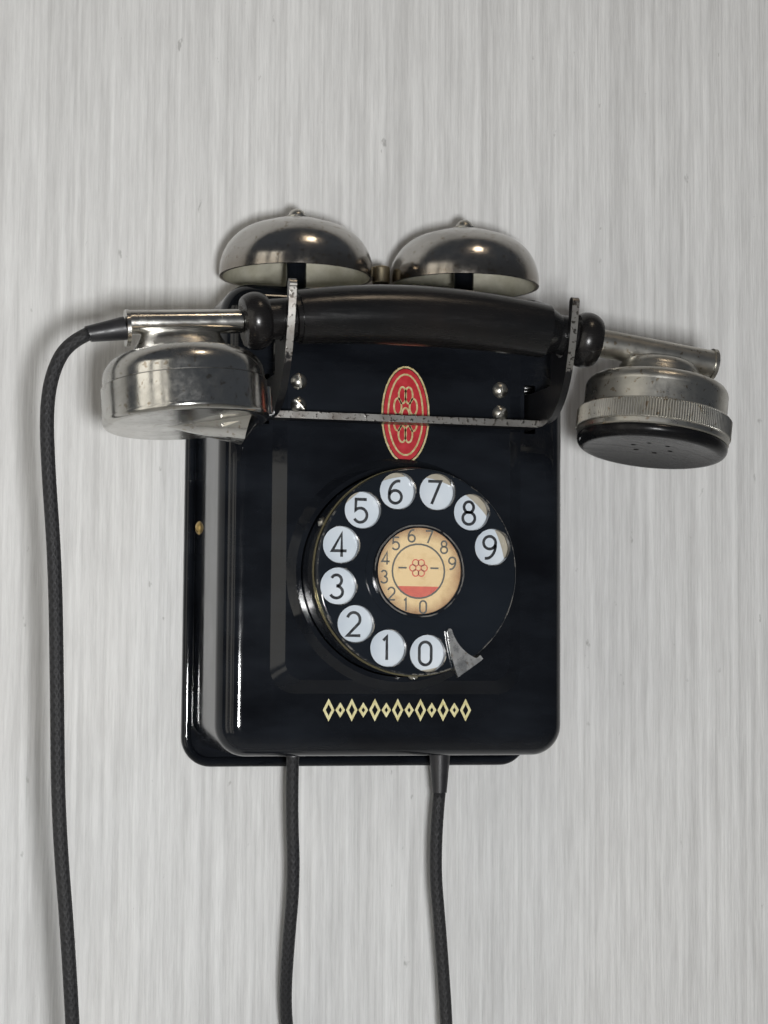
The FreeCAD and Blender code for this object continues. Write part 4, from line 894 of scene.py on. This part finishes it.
def make_stage():
    """Pale wall, seen from the front only and open behind the plate, a pale floor and soft lights."""
    wall = Paint("stage_wall", rough=0.9)
    threads = wall.ramp(wall.noise(360, 3, 0.6, (1, 1, 0.006)), 0.34, 0.66)
    slubs = wall.ramp(wall.noise(420, 4, 0.7, (1, 1, 0.07)), 0.34, 0.66)
    flecks = wall.ramp(wall.noise(150, 4, 0.6, (1, 1, 0.5)), 0.69, 0.74)
    weave = wall.math("ADD", wall.times(threads, 0.5), wall.times(slubs, 0.5))
    paper = wall.mix(weave, (0.53, 0.53, 0.525), (0.76, 0.765, 0.76))
    wall.set("Base Color", wall.mix(wall.times(flecks, 0.6), paper, (0.28, 0.28, 0.27)))
    wall.bump(weave, 0.5, 0.0005)
    back = wall.node("NewGeometry").outputs["Backfacing"]
    clear = wall.node("BsdfTransparent").outputs[0]
    shown = wall.node("MixShader", {0: back, 1: wall.bsdf.outputs[0], 2: clear}).outputs[0]
    wall.tree.links.new(shown, wall.tree.nodes["Material Output"].inputs["Surface"])
    floor = plain("stage_floor", (0.66, 0.66, 0.64), (0.72, 0.72, 0.70), 0.8, 3)
    low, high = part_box("wall_plate")
    outer = rectangle(-WALL_HALF, FLOOR_Z, WALL_HALF, WALL_TOP)
    inner = rectangle(low.x + OPENING_INSET, low.z + OPENING_INSET,
                      high.x - OPENING_INSET, high.z - OPENING_INSET)
    wall_corners = [(x, WALL_GAP, z) for x, z in outer + inner]
    wall_faces = [(i, (i + 1) % 4, 4 + (i + 1) % 4, 4 + i) for i in range(4)]
    floor_corners = [(x, y, FLOOR_Z) for x, y in rectangle(-4, -5, 4, 4)]
    for name, corners, faces, material in (("wall", wall_corners, wall_faces, wall.mat),
                                           ("floor", floor_corners, [(0, 1, 2, 3)], floor)):
        mesh = bpy.data.meshes.new(name)
        mesh.from_pydata(corners, [], faces)
        mesh.materials.append(material)
        plane = bpy.data.objects.new(name, mesh)
        bpy.context.scene.collection.objects.link(plane)
    world = bpy.data.worlds.new("studio")
    world.use_nodes = True
    background = world.node_tree.nodes["Background"]
    background.inputs["Color"].default_value = SKY
    background.inputs["Strength"].default_value = 0.10
    bpy.context.scene.world = world
    light("flash", (-0.15, -0.83, -0.09), (0, 0, 0), 0.06, 0.06, 4.9)
    light("behind", (-0.9, 1.5, 0.9), (0, 0, 0), 1.2, 1.2, 26)
    light("ceiling", (0.3, -1.0, 1.7), (0, 0, 0), 0.28, 0.22, 3, LAMPLIGHT)
    for azimuth, width, power in WINDOWS:
        a = math.radians(azimuth)
        where = (-WINDOW_FAR * math.sin(a), -WINDOW_FAR * math.cos(a) - 0.05, 0.05)
        light("window_%d" % azimuth, where, (0, -0.05, 0.03), width, WINDOW_TALL, power, DAYLIGHT)


# ---- the build ----------------------------------------------------------------------------------
make_camera()
BRAID = braid()
make_handset_cord(BRAID)
make_line_cord(BRAID)
ENAMEL, NICKEL = black_enamel(), nickel("nickel")
DULL_NICKEL = nickel("dull_nickel", (0.52, 0.505, 0.46), 0.26, 0.65)
make_knurled_ring(DULL_NICKEL)
make_dial_print()
make_ornaments()
BRASS = metal("old_brass", (0.5, 0.36, 0.15))
STEEL = metal("bright_steel", (0.45, 0.45, 0.45))
make_hook_springs(STEEL)
IRON = metal("dark_iron", (0.16, 0.16, 0.165), 0.5)
EBONITE = ebonite("ebonite", (0.0060, 0.0061, 0.0066), 0.36)
RUBBER, COPPER = rubber(), wound_copper()
dress({
    ENAMEL: "wall_plate cover gong_posts",
    edge_worn_enamel("finger_wheel_enamel"): "finger_wheel",
    card_holder_finish(): "card_holder",
    dial_case_finish(): "dial_case",
    plug_finish(): "line_plug",
    worn_steel_cradle(): "cradle",
    NICKEL: "transmitter_cap transmitter_tube",
    transmitter_nickel(): "transmitter_housing",
    DULL_NICKEL: "gong_screws cradle_screws dial_screws receiver_tube receiver_housing",
    gong_nickel("gong_left"): "gong_left",
    gong_nickel("gong_right"): "gong_right",
    nickel("bright_nickel", (0.52, 0.52, 0.51), 0.22, 0.5): "finger_stop",
    metal("dull_brass", (0.34, 0.29, 0.20), 0.4, 0.5): "hammer",
    BRASS: "cover_screws dial_frame main_gear governor pulse_contacts hook_contacts terminal_screws",
    STEEL: "hook_brackets hook_pins ringer_frame armature_pin clapper_rod dial_shaft "
           "dial_spring pulse_pinion",
    IRON: "ringer_cores ringer_magnet armature capacitor diaphragm receiver_magnet",
    COPPER: "ringer_coils induction_coil receiver_coils",
    laminate(): "terminal_block pulse_cam",
    EBONITE: "handle carbon_capsule",
    ebonite("dark_ebonite", (0.0045, 0.0048, 0.0055), 0.18): "ear_cap",
    RUBBER: "handset_relief case_relief line_grommet",
    white_enamel(): "number_plate",
    aged_card(): "dial_card",
    celluloid(): "card_window",
})
make_stage()
bpy.context.scene.view_settings.view_transform = "Standard"
